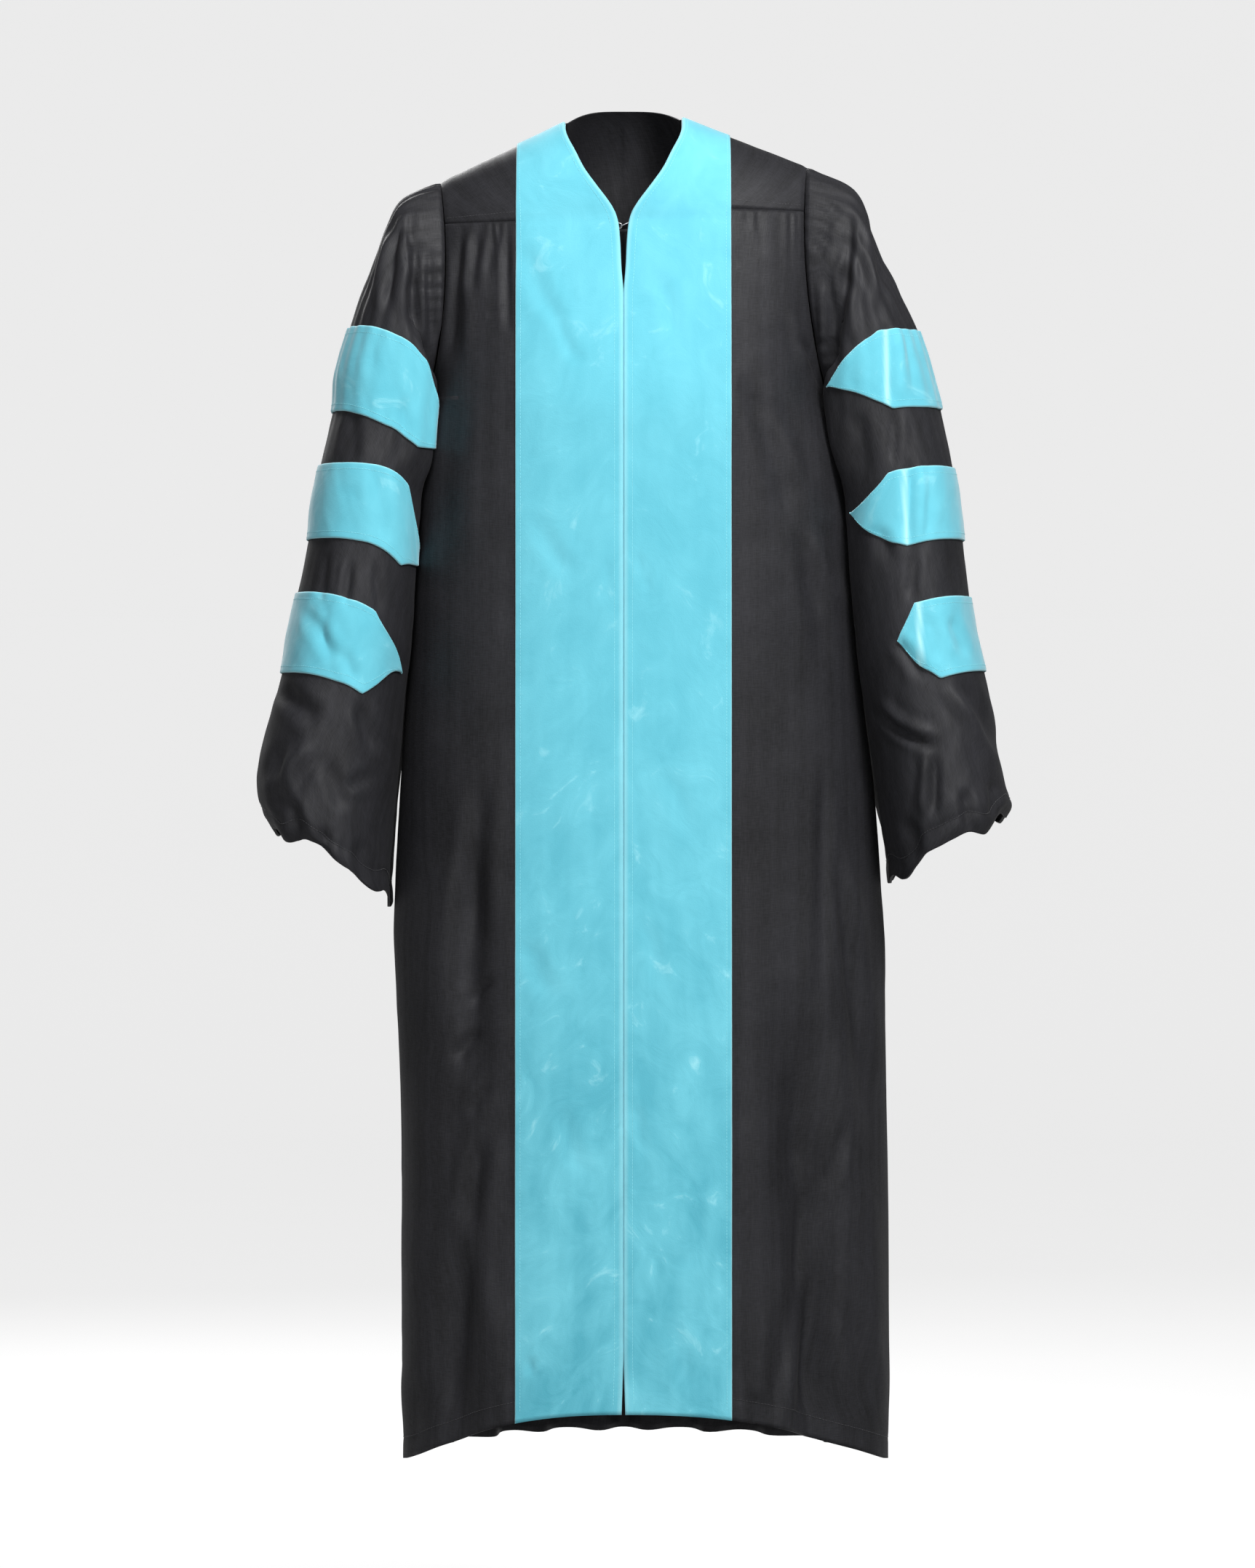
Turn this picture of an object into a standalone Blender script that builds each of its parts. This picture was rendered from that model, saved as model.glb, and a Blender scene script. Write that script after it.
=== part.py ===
"""Graduation gown in its worn form, as the pieces that a maker cuts and sews.

Metres. +X is the wearer's left, -Y the front and +Z up. The origin lies midway between the
shoulder seams. Each cloth piece is a closed wall between two skins lofted through level rows
of the body or through rings of a sleeve. "right" and "left" are the wearer's.
"""

import math

import bpy
import numpy as np

GOWN = "graduation_gown"

# Cloth
WALL = 0.0016
PILE = 0.0020
SEAM_BACK = 0.00015  # what each edge keeps back from its seam line
LAID = 0.0003  # air between a panel and what lies on it
LAID_BAR = 0.0006

# Body section: |x/half|^n + |y/depth|^n = 1, closing over the shoulders
SQUARE = 2.3
CREST_Z = 0.071
CREST_ROUND = 0.010
SHOULDER_DROP = 0.120
TIP_X = 0.190
SCOOP = 0.012
NECK_X = 0.0605
NECK_BACK_Z = 0.066
NECK_BACK_Y = 0.070
UNDERARM_Z = -0.240
ARM_FRONT = 0.058
ARM_BACK = 0.065
STEP = 18  # degrees of armhole between body rows
YOKE_AT = 54
PANEL_X = 0.110  # outer edge of the velvet

# Levels below the underarm, down to the hem at the sides
LEVELS = (-0.290, -0.350, -0.420, -0.500, -0.590, -0.690, -0.800, -0.915, -1.030, -1.140, -1.245, -1.335)
HEM_SIDE = -1.335
HEM_FRONT = -1.277
HEM_BACK = -1.323
HEM_CURVE = 2.4

# z, half width right, half width left, depth in front, depth behind
BODY = np.array(
    (
        (-0.060, 0.200, 0.206, 0.095, 0.100),
        (-0.240, 0.202, 0.211, 0.128, 0.120),
        (-0.300, 0.209, 0.226, 0.130, 0.124),
        (-0.394, 0.215, 0.236, 0.132, 0.130),
        (-0.476, 0.220, 0.241, 0.134, 0.136),
        (-0.557, 0.226, 0.249, 0.137, 0.141),
        (-0.638, 0.231, 0.259, 0.140, 0.146),
        (-0.728, 0.236, 0.266, 0.143, 0.151),
        (-0.790, 0.237, 0.269, 0.146, 0.154),
        (-0.926, 0.232, 0.272, 0.150, 0.162),
        (-1.152, 0.229, 0.275, 0.157, 0.174),
        (-1.335, 0.227, 0.271, 0.162, 0.185),
    )
)

# z, distance of the front opening's edge from the centre line
OPENING = np.array(
    (
        (0.080, 0.0605),
        (0.040, 0.0603),
        (0.029, 0.0577),
        (0.011, 0.0490),
        (-0.007, 0.0402),
        (-0.025, 0.0277),
        (-0.043, 0.0143),
        (-0.052, 0.0090),
        (-0.061, 0.0060),
        (-0.079, 0.0038),
        (-0.110, 0.0023),
        (-0.139, 0.00025),
        (-1.207, 0.00025),
        (-1.277, 0.0020),
    )
)

SIDES = {
    "right": {"sign": -1, "half": 1, "slope": 0.475, "underarm": 0.202},
    "left": {"sign": 1, "half": 2, "slope": 0.385, "underarm": 0.211},
}

# Large folds of the fronts: side, x and z where each starts and ends, half width, depth
FRONT_FOLDS = (
    ("left", 0.168, -0.840, 0.205, -1.340, 0.024, 0.020),
    ("left", 0.232, -0.740, 0.252, -0.960, 0.018, 0.007),
    ("right", 0.152, -0.690, 0.156, -0.900, 0.018, 0.008),
    ("right", 0.172, -1.080, 0.176, -1.345, 0.020, 0.007),
)
FLUTES = 11
FLUTE_QUADS = 4
# z, depth of the back's flutes
FLUTE_DEPTH = np.array(
    ((-0.060, 0.0), (-0.085, 0.0022), (-0.300, 0.0040), (-0.800, 0.0080), (-1.335, 0.0130))
)

# Sleeve rings, outermost point, innermost point, half depth, droop exponent
SLEEVE_QUADS = 40
SLEEVE_SQUARE = 2.3
SLEEVE_BACK_EXTRA = 0.004
BODY_CLEARANCE = 0.004
CLEARANCE_ROUND = 0.004
SLEEVE_RINGS = {
    "right": (
        (0.2277, -0.0341, 0.205, -0.247, 0.068, 1.2),
        (0.2448, -0.0650, 0.198, -0.252, 0.074, 1.5),
        (0.2639, -0.1155, 0.188, -0.257, 0.079, 2.0),
        (0.2822, -0.1670, 0.177, -0.263, 0.084, 3.0),
        (0.2965, -0.2120, 0.178, -0.297, 0.088, 2.4),
        (0.3005, -0.2540, 0.182, -0.330, 0.091, 2.1),
        (0.3135, -0.3090, 0.200, -0.378, 0.098, 5.0),
        (0.3225, -0.3480, 0.205, -0.420, 0.102, 4.6),
        (0.3268, -0.3860, 0.208, -0.461, 0.105, 4.2),
        (0.3360, -0.4410, 0.215, -0.513, 0.112, 3.0),
        (0.3455, -0.4835, 0.221, -0.558, 0.117, 8.0),
        (0.3535, -0.5240, 0.226, -0.604, 0.121, 3.0),
        (0.3655, -0.5670, 0.231, -0.650, 0.127, 1.8),
        (0.3762, -0.6094, 0.235, -0.699, 0.133, 1.4),
        (0.3795, -0.6380, 0.238, -0.728, 0.137, 1.4),
        (0.3755, -0.6680, 0.238, -0.750, 0.138, 1.5),
        (0.3660, -0.6850, 0.238, -0.760, 0.135, 1.6),
    ),
    "left": (
        (0.2360, -0.0250, 0.213, -0.247, 0.068, 1.2),
        (0.2555, -0.0660, 0.208, -0.252, 0.074, 1.6),
        (0.2752, -0.1155, 0.202, -0.257, 0.079, 2.2),
        (0.3025, -0.1706, 0.196, -0.263, 0.084, 4.0),
        (0.3155, -0.2105, 0.197, -0.296, 0.088, 4.0),
        (0.3265, -0.2515, 0.200, -0.327, 0.091, 4.0),
        (0.3415, -0.3115, 0.222, -0.374, 0.098, 3.6),
        (0.3475, -0.3500, 0.225, -0.412, 0.102, 3.2),
        (0.3510, -0.3870, 0.228, -0.450, 0.105, 3.0),
        (0.3575, -0.4450, 0.236, -0.503, 0.112, 2.8),
        (0.3635, -0.4830, 0.241, -0.543, 0.117, 2.6),
        (0.3730, -0.5226, 0.247, -0.587, 0.121, 2.4),
        (0.3815, -0.5641, 0.254, -0.632, 0.127, 2.2),
        (0.3883, -0.6094, 0.261, -0.680, 0.133, 2.0),
        (0.3945, -0.6380, 0.266, -0.708, 0.137, 1.8),
        (0.4025, -0.6580, 0.270, -0.728, 0.138, 1.6),
        (0.3960, -0.6730, 0.272, -0.741, 0.135, 1.5),
    ),
}
# Depth of the gathers at the sleeve head, ring by ring from the armhole
GATHERS = (0.0, 0.0030, 0.0032, 0.0028, 0.0020, 0.0014, 0.0008)

# Bars: upper ring, then columns of the front corners and tip and of the back corners and tip
BARS = {
    "right": ((4, 13, 18, 13, -6, -11, -6), (7, 14, 18, 14, -8, -13, -8), (10, 12, 16.5, 12, -8, -12, -8)),
    "left": ((4, 9, 15, 9, -9, -15, -9), (7, 11, 16, 10, -11, -16, -10), (10, 10, 12, 9, -12, -16, -11)),
}

# Zip behind the centre front, then its slider
ZIP_TOP = -0.152
ZIP_BOTTOM = -1.205
ZIP_HALF = 0.011
CHAIN_HALF = 0.003
TAPE = 0.0008
CHAIN = 0.0022
SLIDER = (0.0085, 0.0045, 0.0105)

# Neck hook and eye
HOOK_Z = -0.0670
HOOK_RISE = 0.008
WIRE = 0.0006
# x and height of the eye's bends
EYE_LINE = (
    (-0.014, 0.0042),
    (-0.004, 0.0032),
    (-0.0016, 0.0012),
    (-0.0016, -0.0012),
    (-0.004, -0.0032),
    (-0.014, -0.0022),
)
# x, depth and height of the hook's bends
HOOK_LINE = (
    (0.0140, 0.0, 0.0056),
    (0.0060, 0.0, 0.0036),
    (0.0008, -0.0014, 0.0012),
    (-0.0034, -0.0014, -0.0006),
    (-0.0038, 0.0, -0.0008),
)

BLACK = (0.0118, 0.0118, 0.0131, 1.0)
TURQUOISE = (0.169, 0.610, 0.730, 1.0)
STEEL = (0.42, 0.43, 0.45, 1.0)


def smooth(table, column, at):
    """A column of a table at given first-column values, as a curve that doesn't overshoot."""
    order = np.argsort(table[:, 0])
    x, y = table[order, 0], table[order, column]
    slope = np.diff(y) / np.diff(x)
    tangent = np.concatenate(([slope[0]], (slope[1:] + slope[:-1]) / 2, [slope[-1]]))
    turn = slope[1:] * slope[:-1] <= 0
    tangent[1:-1][turn] = 0
    steep = 3 * np.minimum(np.abs(slope[1:]), np.abs(slope[:-1]))
    tangent[1:-1] = np.clip(tangent[1:-1], -steep, steep)
    at = np.clip(at, x[0], x[-1])
    i = np.clip(np.searchsorted(x, at) - 1, 0, len(x) - 2)
    step = x[i + 1] - x[i]
    t = (at - x[i]) / step
    return (
        y[i] * (1 + 2 * t) * (1 - t) ** 2
        + tangent[i] * step * t * (1 - t) ** 2
        + y[i + 1] * t * t * (3 - 2 * t)
        - tangent[i + 1] * step * t * t * (1 - t)
    )


def crest(side, x):
    """Height of the shoulder line at a distance x from the centre."""
    return CREST_Z - SIDES[side]["slope"] * (np.hypot(x, CREST_ROUND) - CREST_ROUND)


def neck_rim(side, x):
    """Height and depth of the back neck's edge."""
    t = np.clip(np.abs(x) / NECK_X, 0, 1)
    low = crest(side, NECK_X)
    return low + (NECK_BACK_Z - low) * (1 - t**3.5), NECK_BACK_Y * np.sqrt(1 - t**2.5)


def over_shoulder(drop):
    """Share of the full depth that the section has at a drop below the crest."""
    left = 1 - np.clip(drop / SHOULDER_DROP, 0, 1)
    return np.sqrt(1 - left**2)


def armhole(side, degrees, behind=False):
    """Point of the armhole seam, 0 at the shoulder and 180 at the underarm."""
    a = math.radians(degrees)
    top = float(crest(side, TIP_X))
    x = TIP_X + (SIDES[side]["underarm"] - TIP_X) * (1 - math.cos(a)) / 2 - SCOOP * math.sin(a) ** 2
    y = (ARM_BACK if behind else -ARM_FRONT) * math.sin(a)
    z = (top + UNDERARM_Z) / 2 + (top - UNDERARM_Z) / 2 * math.cos(a)
    return x, y if degrees % 180 else 0.0, z


def half_width(side, z, behind=False):
    """Half width of the full section whose curve passes through the armhole at height z."""
    if z <= UNDERARM_Z:
        return float(smooth(BODY, SIDES[side]["half"], z))
    top = float(crest(side, TIP_X))
    cosine = (2 * z - top - UNDERARM_Z) / (top - UNDERARM_Z)
    x, y, z = armhole(side, math.degrees(math.acos(min(cosine, math.cos(math.radians(STEP))))), behind)
    depth = float(smooth(BODY, 4 if behind else 3, z)) * float(over_shoulder(crest(side, x) - z))
    return x / (1 - abs(y / depth) ** SQUARE) ** (1 / SQUARE)


def section(x, half, depth):
    """Depth of the body's section at a distance x from the centre."""
    return depth * np.maximum(1 - (np.abs(x) / half) ** SQUARE, 0) ** (1 / SQUARE)


def hem(side, x, half, behind):
    t = np.clip(np.abs(x) / half, 0, 1)
    centre = HEM_BACK if behind else HEM_FRONT
    return centre + (HEM_SIDE - centre) * t**HEM_CURVE


def row_heights():
    """Each body row as ("arm", degrees) or ("level", z), from the shoulder to the hem."""
    return [("arm", d) for d in range(0, 181, STEP)] + [("level", z) for z in LEVELS]


YOKE_ROWS = YOKE_AT // STEP
UNDERARM_ROW = 180 // STEP - YOKE_ROWS


def columns(inner, half, outer, inner_quads, outer_quads):
    """Even steps from the first of inner to its last, then even turns of the section to outer."""
    turn = [math.asin(min((x / half) ** (SQUARE / 2), 1)) for x in (inner[1], outer)]
    turned = half * np.sin(np.linspace(turn[0], turn[1], outer_quads + 1)) ** (2 / SQUARE)
    turned[0], turned[-1] = inner[1], outer
    return np.concatenate((np.linspace(inner[0], inner[1], inner_quads + 1)[:-1], turned))


def row_place(side, kind, value, behind):
    """Outer end, section half width and height function of one row on one side."""
    if kind == "level":
        half = half_width(side, value)
        share = ((value - UNDERARM_Z) / (HEM_SIDE - UNDERARM_Z)) ** 3
        return half, half, lambda x: value + share * (hem(side, x, half, behind) - HEM_SIDE)
    outer, _, z = armhole(side, value, behind)
    half = half_width(side, z, behind)
    if value >= YOKE_AT:
        return outer, half, lambda x: z + 0 * x
    seam = armhole(side, YOKE_AT)[2]
    top = float(crest(side, outer))
    share = (top - z) / (top - seam)

    def height(x):
        start = crest(side, x)
        if behind:
            start = np.where(x < NECK_X, neck_rim(side, x)[0], start)
        return start - (start - seam) * share

    return outer, half, height


FRONT_INNER, FRONT_OUTER = 4, 8
BACK_INNER, BACK_OUTER = 6, 16
BACK_SPREAD = 0.029  # how much further apart the middle columns of the back run below the yoke
BACK_SPREAD_FROM = -0.07


def front_half(side):
    """Outer skin of one half of the front, row by row from its opening to the side."""
    rows = []
    for kind, value in row_heights():
        outer, half, height = row_place(side, kind, value, False)
        edge = NECK_X
        for _ in range(30):
            edge = float(smooth(OPENING, 1, height(np.array(edge))))
        x = columns((edge, PANEL_X), half, outer, FRONT_INNER, FRONT_OUTER)
        z = height(x)
        y = -section(x, half, smooth(BODY, 3, z)) * over_shoulder(crest(side, x) - z)
        if kind == "arm":
            y[-1] = armhole(side, value)[1]
        rows.append(np.stack((SIDES[side]["sign"] * x, y, z), axis=1))
    return np.array(rows)


def back_half(side):
    """Outer skin of one half of the back, row by row from the centre to the side."""
    rows = []
    for kind, value in row_heights():
        outer, half, height = row_place(side, kind, value, True)
        level = value if kind == "level" else armhole(side, value)[2]
        middle = NECK_X + BACK_SPREAD * min(max((BACK_SPREAD_FROM - level) / 0.4, 0), 1)
        x = columns((0.0, middle), half, outer, BACK_INNER, BACK_OUTER)
        z = height(x)
        rim_z, rim_y = neck_rim(side, x)
        lift = SHOULDER_DROP * (1 - np.sqrt(1 - (rim_y / NECK_BACK_DEPTH) ** 2))
        start = np.where(x < NECK_X, rim_z + lift, crest(side, x))
        y = section(x, half, smooth(BODY, 4, z)) * over_shoulder(start - z)
        if kind == "arm":
            y[-1] = armhole(side, value, True)[1]
        if (kind, value) == ("arm", 0):
            y[x >= NECK_X] = 0
        rows.append(np.stack((SIDES[side]["sign"] * x, y, z), axis=1))
    return np.array(rows)


NECK_BACK_DEPTH = float(BODY[0, 4])


def back_skin():
    """Outer skin of the whole back, from the wearer's right side to the left."""
    right, left = back_half("right"), back_half("left")
    centre = (right[:, :1] + left[:, :1]) / 2
    drift = (right[:, :1, 2] - left[:, :1, 2]) / 2
    fade = np.linspace(1, 0, right.shape[1]) ** 2
    right[..., 2] -= drift * fade
    left[..., 2] += drift * fade
    return np.concatenate((right[:, :0:-1], centre, left[:, 1:]), axis=1)


def body_side(side, y, z):
    """Distance from the centre to the body's surface at depth y and height z."""
    behind = y > 0
    half = half_width(side, z, behind)
    depth = float(smooth(BODY, 4 if behind else 3, z))
    return half * max(1 - (abs(y) / depth) ** SQUARE, 0) ** (1 / SQUARE)


def sleeve_skin(side):
    """Outer skin of a sleeve, ring by ring from the armhole to the cuff."""
    sign = SIDES[side]["sign"]
    turn = 360 / SLEEVE_QUADS
    first = []
    for c in range(SLEEVE_QUADS):
        angles = (c * turn,) if c % 2 == 0 else ((c - 1) * turn, (c + 1) * turn)
        points = [armhole(side, a if a <= 180 else 360 - a, a > 180) for a in angles]
        first.append(np.mean(points, axis=0))
    rings = [first]
    for outer_x, outer_z, inner_x, inner_z, depth, droop in SLEEVE_RINGS[side]:
        ring = []
        for c in range(SLEEVE_QUADS):
            a = math.radians(c * turn)
            across, deep = math.cos(a), math.sin(a)
            across = math.copysign(abs(across) ** (2 / SLEEVE_SQUARE), across)
            deep = math.copysign(abs(deep) ** (2 / SLEEVE_SQUARE), deep)
            x = (outer_x + inner_x) / 2 + (outer_x - inner_x) / 2 * across
            y = -deep * (depth + (SLEEVE_BACK_EXTRA if deep < 0 else 0))
            z = outer_z - (outer_z - inner_z) * ((1 - math.cos(a)) / 2) ** droop
            least = body_side(side, y, min(z, -0.1)) + BODY_CLEARANCE
            x = (x + least + math.hypot(x - least, CLEARANCE_ROUND)) / 2
            ring.append((x, y if c % (SLEEVE_QUADS // 2) else 0.0, z))
        rings.append(ring)
    skin = np.array(rings)
    skin[..., 0] *= sign
    return skin


def unit(vectors):
    return vectors / np.maximum(np.linalg.norm(vectors, axis=-1, keepdims=True), 1e-12)


def key(point):
    return tuple(np.round(point * 1e6).astype(int))


def face_normals(skin, closed, flip):
    """Sum of the face normals round each point of a grid."""
    rows, cols = skin.shape[:2]
    normals = np.zeros_like(skin)
    for r in range(rows - 1):
        for c in range(cols if closed else cols - 1):
            d = (c + 1) % cols
            corners = ((r, c), (r + 1, c), (r + 1, d), (r, d))
            one, two = skin[corners[2]] - skin[corners[0]], skin[corners[3]] - skin[corners[1]]
            normal = np.cross(one, two) * flip
            for corner in corners:
                normals[corner] += normal
    return normals


def joined_normals(skins):
    """Unit normals of several grids; points at one place share theirs.

    The body's panels count as one surface and a sleeve as the other, so an armhole's normal
    halves the angle between them.
    """
    shared = {}
    for s in skins.values():
        normals = unit(face_normals(s["skin"], s["closed"], s["flip"]))
        for place, normal in zip(s["skin"].reshape(-1, 3), normals.reshape(-1, 3)):
            sums = shared.setdefault(key(place), {})
            sums[s["closed"]] = sums.get(s["closed"], 0) + normal
    found = {}
    for name, s in skins.items():
        meeting = [shared[key(place)].values() for place in s["skin"].reshape(-1, 3)]
        flat = np.array([sum(unit(one) for one in surfaces) for surfaces in meeting])
        flat[np.abs(s["skin"].reshape(-1, 3)[:, 1]) < 1e-7, 1] = 0
        found[name] = unit(flat).reshape(s["skin"].shape)
        if s["closed"]:
            ring = found[name][0]
            ring[1::2] = unit((np.roll(ring, 1, axis=0) + np.roll(ring, -1, axis=0))[1::2])
    return found


def fold_front(side, skin, normals):
    """Press the large folds into a front."""
    x, z = np.abs(skin[..., 0]), skin[..., 2]
    push = np.zeros_like(x)
    for where, x0, z0, x1, z1, wide, deep in FRONT_FOLDS:
        if where != side:
            continue
        t = (z - z0) / (z1 - z0)
        middle = x0 + (x1 - x0) * t
        fade = np.clip(t / 0.35, 0, 1) * np.clip((1.25 - t) / 0.25, 0, 1)
        across = (x - middle) / wide
        push += deep * fade * (np.exp(-(across**2)) - 0.3 * np.exp(-((np.abs(across) - 2.0) ** 2)))
    push[:, -1] = 0
    push[: YOKE_ROWS + 1] = 0
    return skin - push[..., None] * normals


def fold_back(skin, normals):
    """Gather the back into even flutes under its yoke."""
    cols = skin.shape[1]
    c = np.arange(cols)
    wave = np.cos(2 * np.pi * (c - cols // 2) / FLUTE_QUADS)
    edge = np.clip(np.minimum(c, cols - 1 - c) / (1.5 * FLUTE_QUADS), 0, 1)
    z = skin[..., 2]
    depth = smooth(FLUTE_DEPTH, 1, z)
    depth[: YOKE_ROWS + 1] = 0
    arm = np.array([1.0 if kind == "level" else 0.75 for kind, _ in row_heights()])
    return skin + (depth * wave * edge * arm[:, None])[..., None] * normals


def gather_sleeve(skin, normals):
    """Ease the sleeve head into gathers that run out down the arm."""
    c = np.arange(SLEEVE_QUADS)
    turn = 2 * np.pi * c / SLEEVE_QUADS
    share = 0.62 + 0.25 * np.cos(2 * turn) + 0.13 * np.cos(5 * turn)
    inner = np.clip((np.cos(turn) + 1.0) / 0.6, 0, 1)
    depth = np.zeros(len(skin))
    depth[: len(GATHERS)] = GATHERS
    push = depth[:, None] * np.where(c % 2, 1.0, -0.35) * share * inner
    return skin + push[..., None] * normals


def shift(line, normals, inside):
    """Move a seam edge back from its seam, square to the mitre that it shares."""
    square = unit(np.cross(np.gradient(line, axis=0), normals))
    turned = np.where((square * inside).sum(axis=1, keepdims=True) < 0, -1.0, 1.0)
    return SEAM_BACK * turned * square


def shift_ring(ring, normals, inside):
    square = unit(np.cross(np.roll(ring, -1, axis=0) - np.roll(ring, 1, axis=0), normals))
    turned = np.where((square * inside).sum(axis=1, keepdims=True) < 0, -1.0, 1.0)
    return SEAM_BACK * turned * square


def shift_side(line, normals, inside, corner):
    """Shift of a panel's side, which turns from armhole to side seam at a corner row."""
    if not corner:
        return shift(line, normals, inside)
    move = np.zeros_like(line)
    for part in (slice(0, corner + 1), slice(corner, None)):
        move[part] += shift(line[part], normals[part], inside[part])
    return move


def two_skins(skin, normals, top, bottom, left, right, corner=0):
    """Outer and inner skin of a panel whose named edges are seams."""
    move = np.zeros_like(skin)
    if top is not None:
        move[0] += shift(skin[0], normals[0], skin[1] - skin[0]) * top[:, None]
    if bottom:
        move[-1] += shift(skin[-1], normals[-1], skin[-2] - skin[-1])
    if left:
        move[:, 0] += shift_side(skin[:, 0], normals[:, 0], skin[:, 1] - skin[:, 0], corner)
    if right:
        move[:, -1] += shift_side(skin[:, -1], normals[:, -1], skin[:, -2] - skin[:, -1], corner)
    outer = skin + move
    return outer, outer - WALL * normals


def wall(name, outer, inner, material, closed=False, flip=1):
    """Closed wall between two grids; points that fall together are merged."""
    rows, cols = outer.shape[:2]
    index = {}
    points = []

    def vertex(point):
        k = key(point)
        if k not in index:
            index[k] = len(points)
            points.append(tuple(point))
        return index[k]

    ids = [np.array([[vertex(p) for p in row] for row in grid]) for grid in (outer, inner)]
    faces = []

    def quad(a, b, c, d):
        for face in ((a, b, c), (a, c, d)):
            if len(set(face)) == 3:
                faces.append(face if flip > 0 else face[::-1])

    out, inn = ids
    span = cols if closed else cols - 1
    for r in range(rows - 1):
        for c in range(span):
            d = (c + 1) % cols
            quad(out[r, c], out[r + 1, c], out[r + 1, d], out[r, d])
            faces_at = len(faces)
            quad(inn[r, c], inn[r + 1, c], inn[r + 1, d], inn[r, d])
            faces[faces_at:] = [f[::-1] for f in faces[faces_at:]]
    for c in range(span):
        d = (c + 1) % cols
        quad(out[0, c], out[0, d], inn[0, d], inn[0, c])
        quad(out[-1, d], out[-1, c], inn[-1, c], inn[-1, d])
    if not closed:
        for r in range(rows - 1):
            quad(out[r + 1, 0], out[r, 0], inn[r, 0], inn[r + 1, 0])
            quad(out[r, -1], out[r + 1, -1], inn[r + 1, -1], inn[r, -1])
    mesh = bpy.data.meshes.new(name)
    mesh.from_pydata(points, [], [tuple(int(i) for i in f) for f in faces])
    return place(name, mesh, material)


def place(name, mesh, material):
    mesh.materials.append(material)
    made = bpy.data.objects.new(name, mesh)
    bpy.data.collections[GOWN].objects.link(made)
    return made


def laid(name, skin, normals, material, air, thick, flip):
    """A piece made from a panel's own points, moved out."""
    return wall(name, skin + (air + thick) * normals, skin + air * normals, material, flip=flip)


def bar(name, skin, normals, spec, material, flip):
    """A pointed bar laid on a sleeve over two rows of its quads."""
    upper, top, tip, bottom, back_top, back_tip, back_bottom = spec
    low, high = math.ceil(back_tip), math.floor(tip)
    stops = np.array(sorted({back_tip, tip, *range(low, high + 1)}))
    rows = []
    lines = ((upper, top, back_top), (None, tip, back_tip), (upper + 2, bottom, back_bottom))
    for row, corner, back_corner in lines:
        line = []
        for c in stops:
            base = int(math.floor(c)), c - math.floor(c)
            ends = [(base[0] + k) % SLEEVE_QUADS for k in (0, 1)]
            pick = [skin[:, e] * w for e, w in zip(ends, (1 - base[1], base[1]))]
            turn = [normals[:, e] * w for e, w in zip(ends, (1 - base[1], base[1]))]
            at, up = pick[0] + pick[1], turn[0] + turn[1]
            share = 0.0
            if row is not None:
                front = (tip - c) / (tip - corner)
                back = (c - back_tip) / (back_corner - back_tip)
                share = min(1.0, max(0.0, front), max(0.0, back))
            other = row if row is not None else upper + 1
            point = at[upper + 1] * (1 - share) + at[other] * share
            normal = up[upper + 1] * (1 - share) + up[other] * share
            line.append((point, unit(normal)))
        rows.append(line)
    grid = np.array([[p for p, _ in line] for line in rows])
    out = np.array([[n for _, n in line] for line in rows])
    return laid(name, grid, out, material, LAID_BAR, PILE, flip)


def row_at(front, z):
    """Inner points and normals of a front's row at one height on the centre line."""
    inner, normals = front
    heights = -inner[:, 0, 2]
    i = int(np.clip(np.searchsorted(heights, -z) - 1, 0, len(heights) - 2))
    t = (-z - heights[i]) / (heights[i + 1] - heights[i])
    return inner[i] * (1 - t) + inner[i + 1] * t, unit(normals[i, 0] * (1 - t) + normals[i + 1, 0] * t)


def zip_tape(fronts, material):
    """Closed zip sewn behind the centre front: two tapes and a thicker chain."""
    across = (-ZIP_HALF, -CHAIN_HALF, CHAIN_HALF, ZIP_HALF)
    thick = (TAPE, CHAIN, CHAIN, TAPE)
    heights = [z for z in fronts["right"][0][:, 0, 2] if ZIP_BOTTOM < z < ZIP_TOP]
    fore, aft = [], []
    for z in (ZIP_TOP, *heights, ZIP_BOTTOM):
        rows = {side: row_at(front, z) for side, front in fronts.items()}
        line = []
        for x in across:
            row, normal = rows["left" if x > 0 else "right"]
            t = (x - row[0, 0]) / (row[1, 0] - row[0, 0])
            line.append((row[0] + t * (row[1] - row[0]), normal))
        fore.append([p - LAID * n for p, n in line])
        aft.append([p - (LAID + t) * n for (p, n), t in zip(line, thick)])
    return wall("zip", np.array(fore), np.array(aft), material)


def zip_slider(front, material):
    """Slider just above the top of the chain, lying along the inside of the fronts."""
    wide, deep, tall = SLIDER
    middle = ZIP_TOP + 2 * SEAM_BACK + tall / 2
    (high, _), (low, _) = (row_at(front, middle + s * tall / 2) for s in (1, -1))
    lean = math.atan2(high[0, 1] - low[0, 1], high[0, 2] - low[0, 2])
    behind = (high[0, 1] + low[0, 1]) / 2 + 2 * LAID + deep / 2
    bpy.ops.mesh.primitive_cube_add(size=1, location=(0, behind, middle), rotation=(-lean, 0, 0))
    slider = bpy.context.object
    slider.name = slider.data.name = "zip_slider"
    slider.scale = SLIDER
    slider.data.materials.append(material)
    for held in list(slider.users_collection):
        held.objects.unlink(slider)
    bpy.data.collections[GOWN].objects.link(slider)
    return slider


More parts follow.
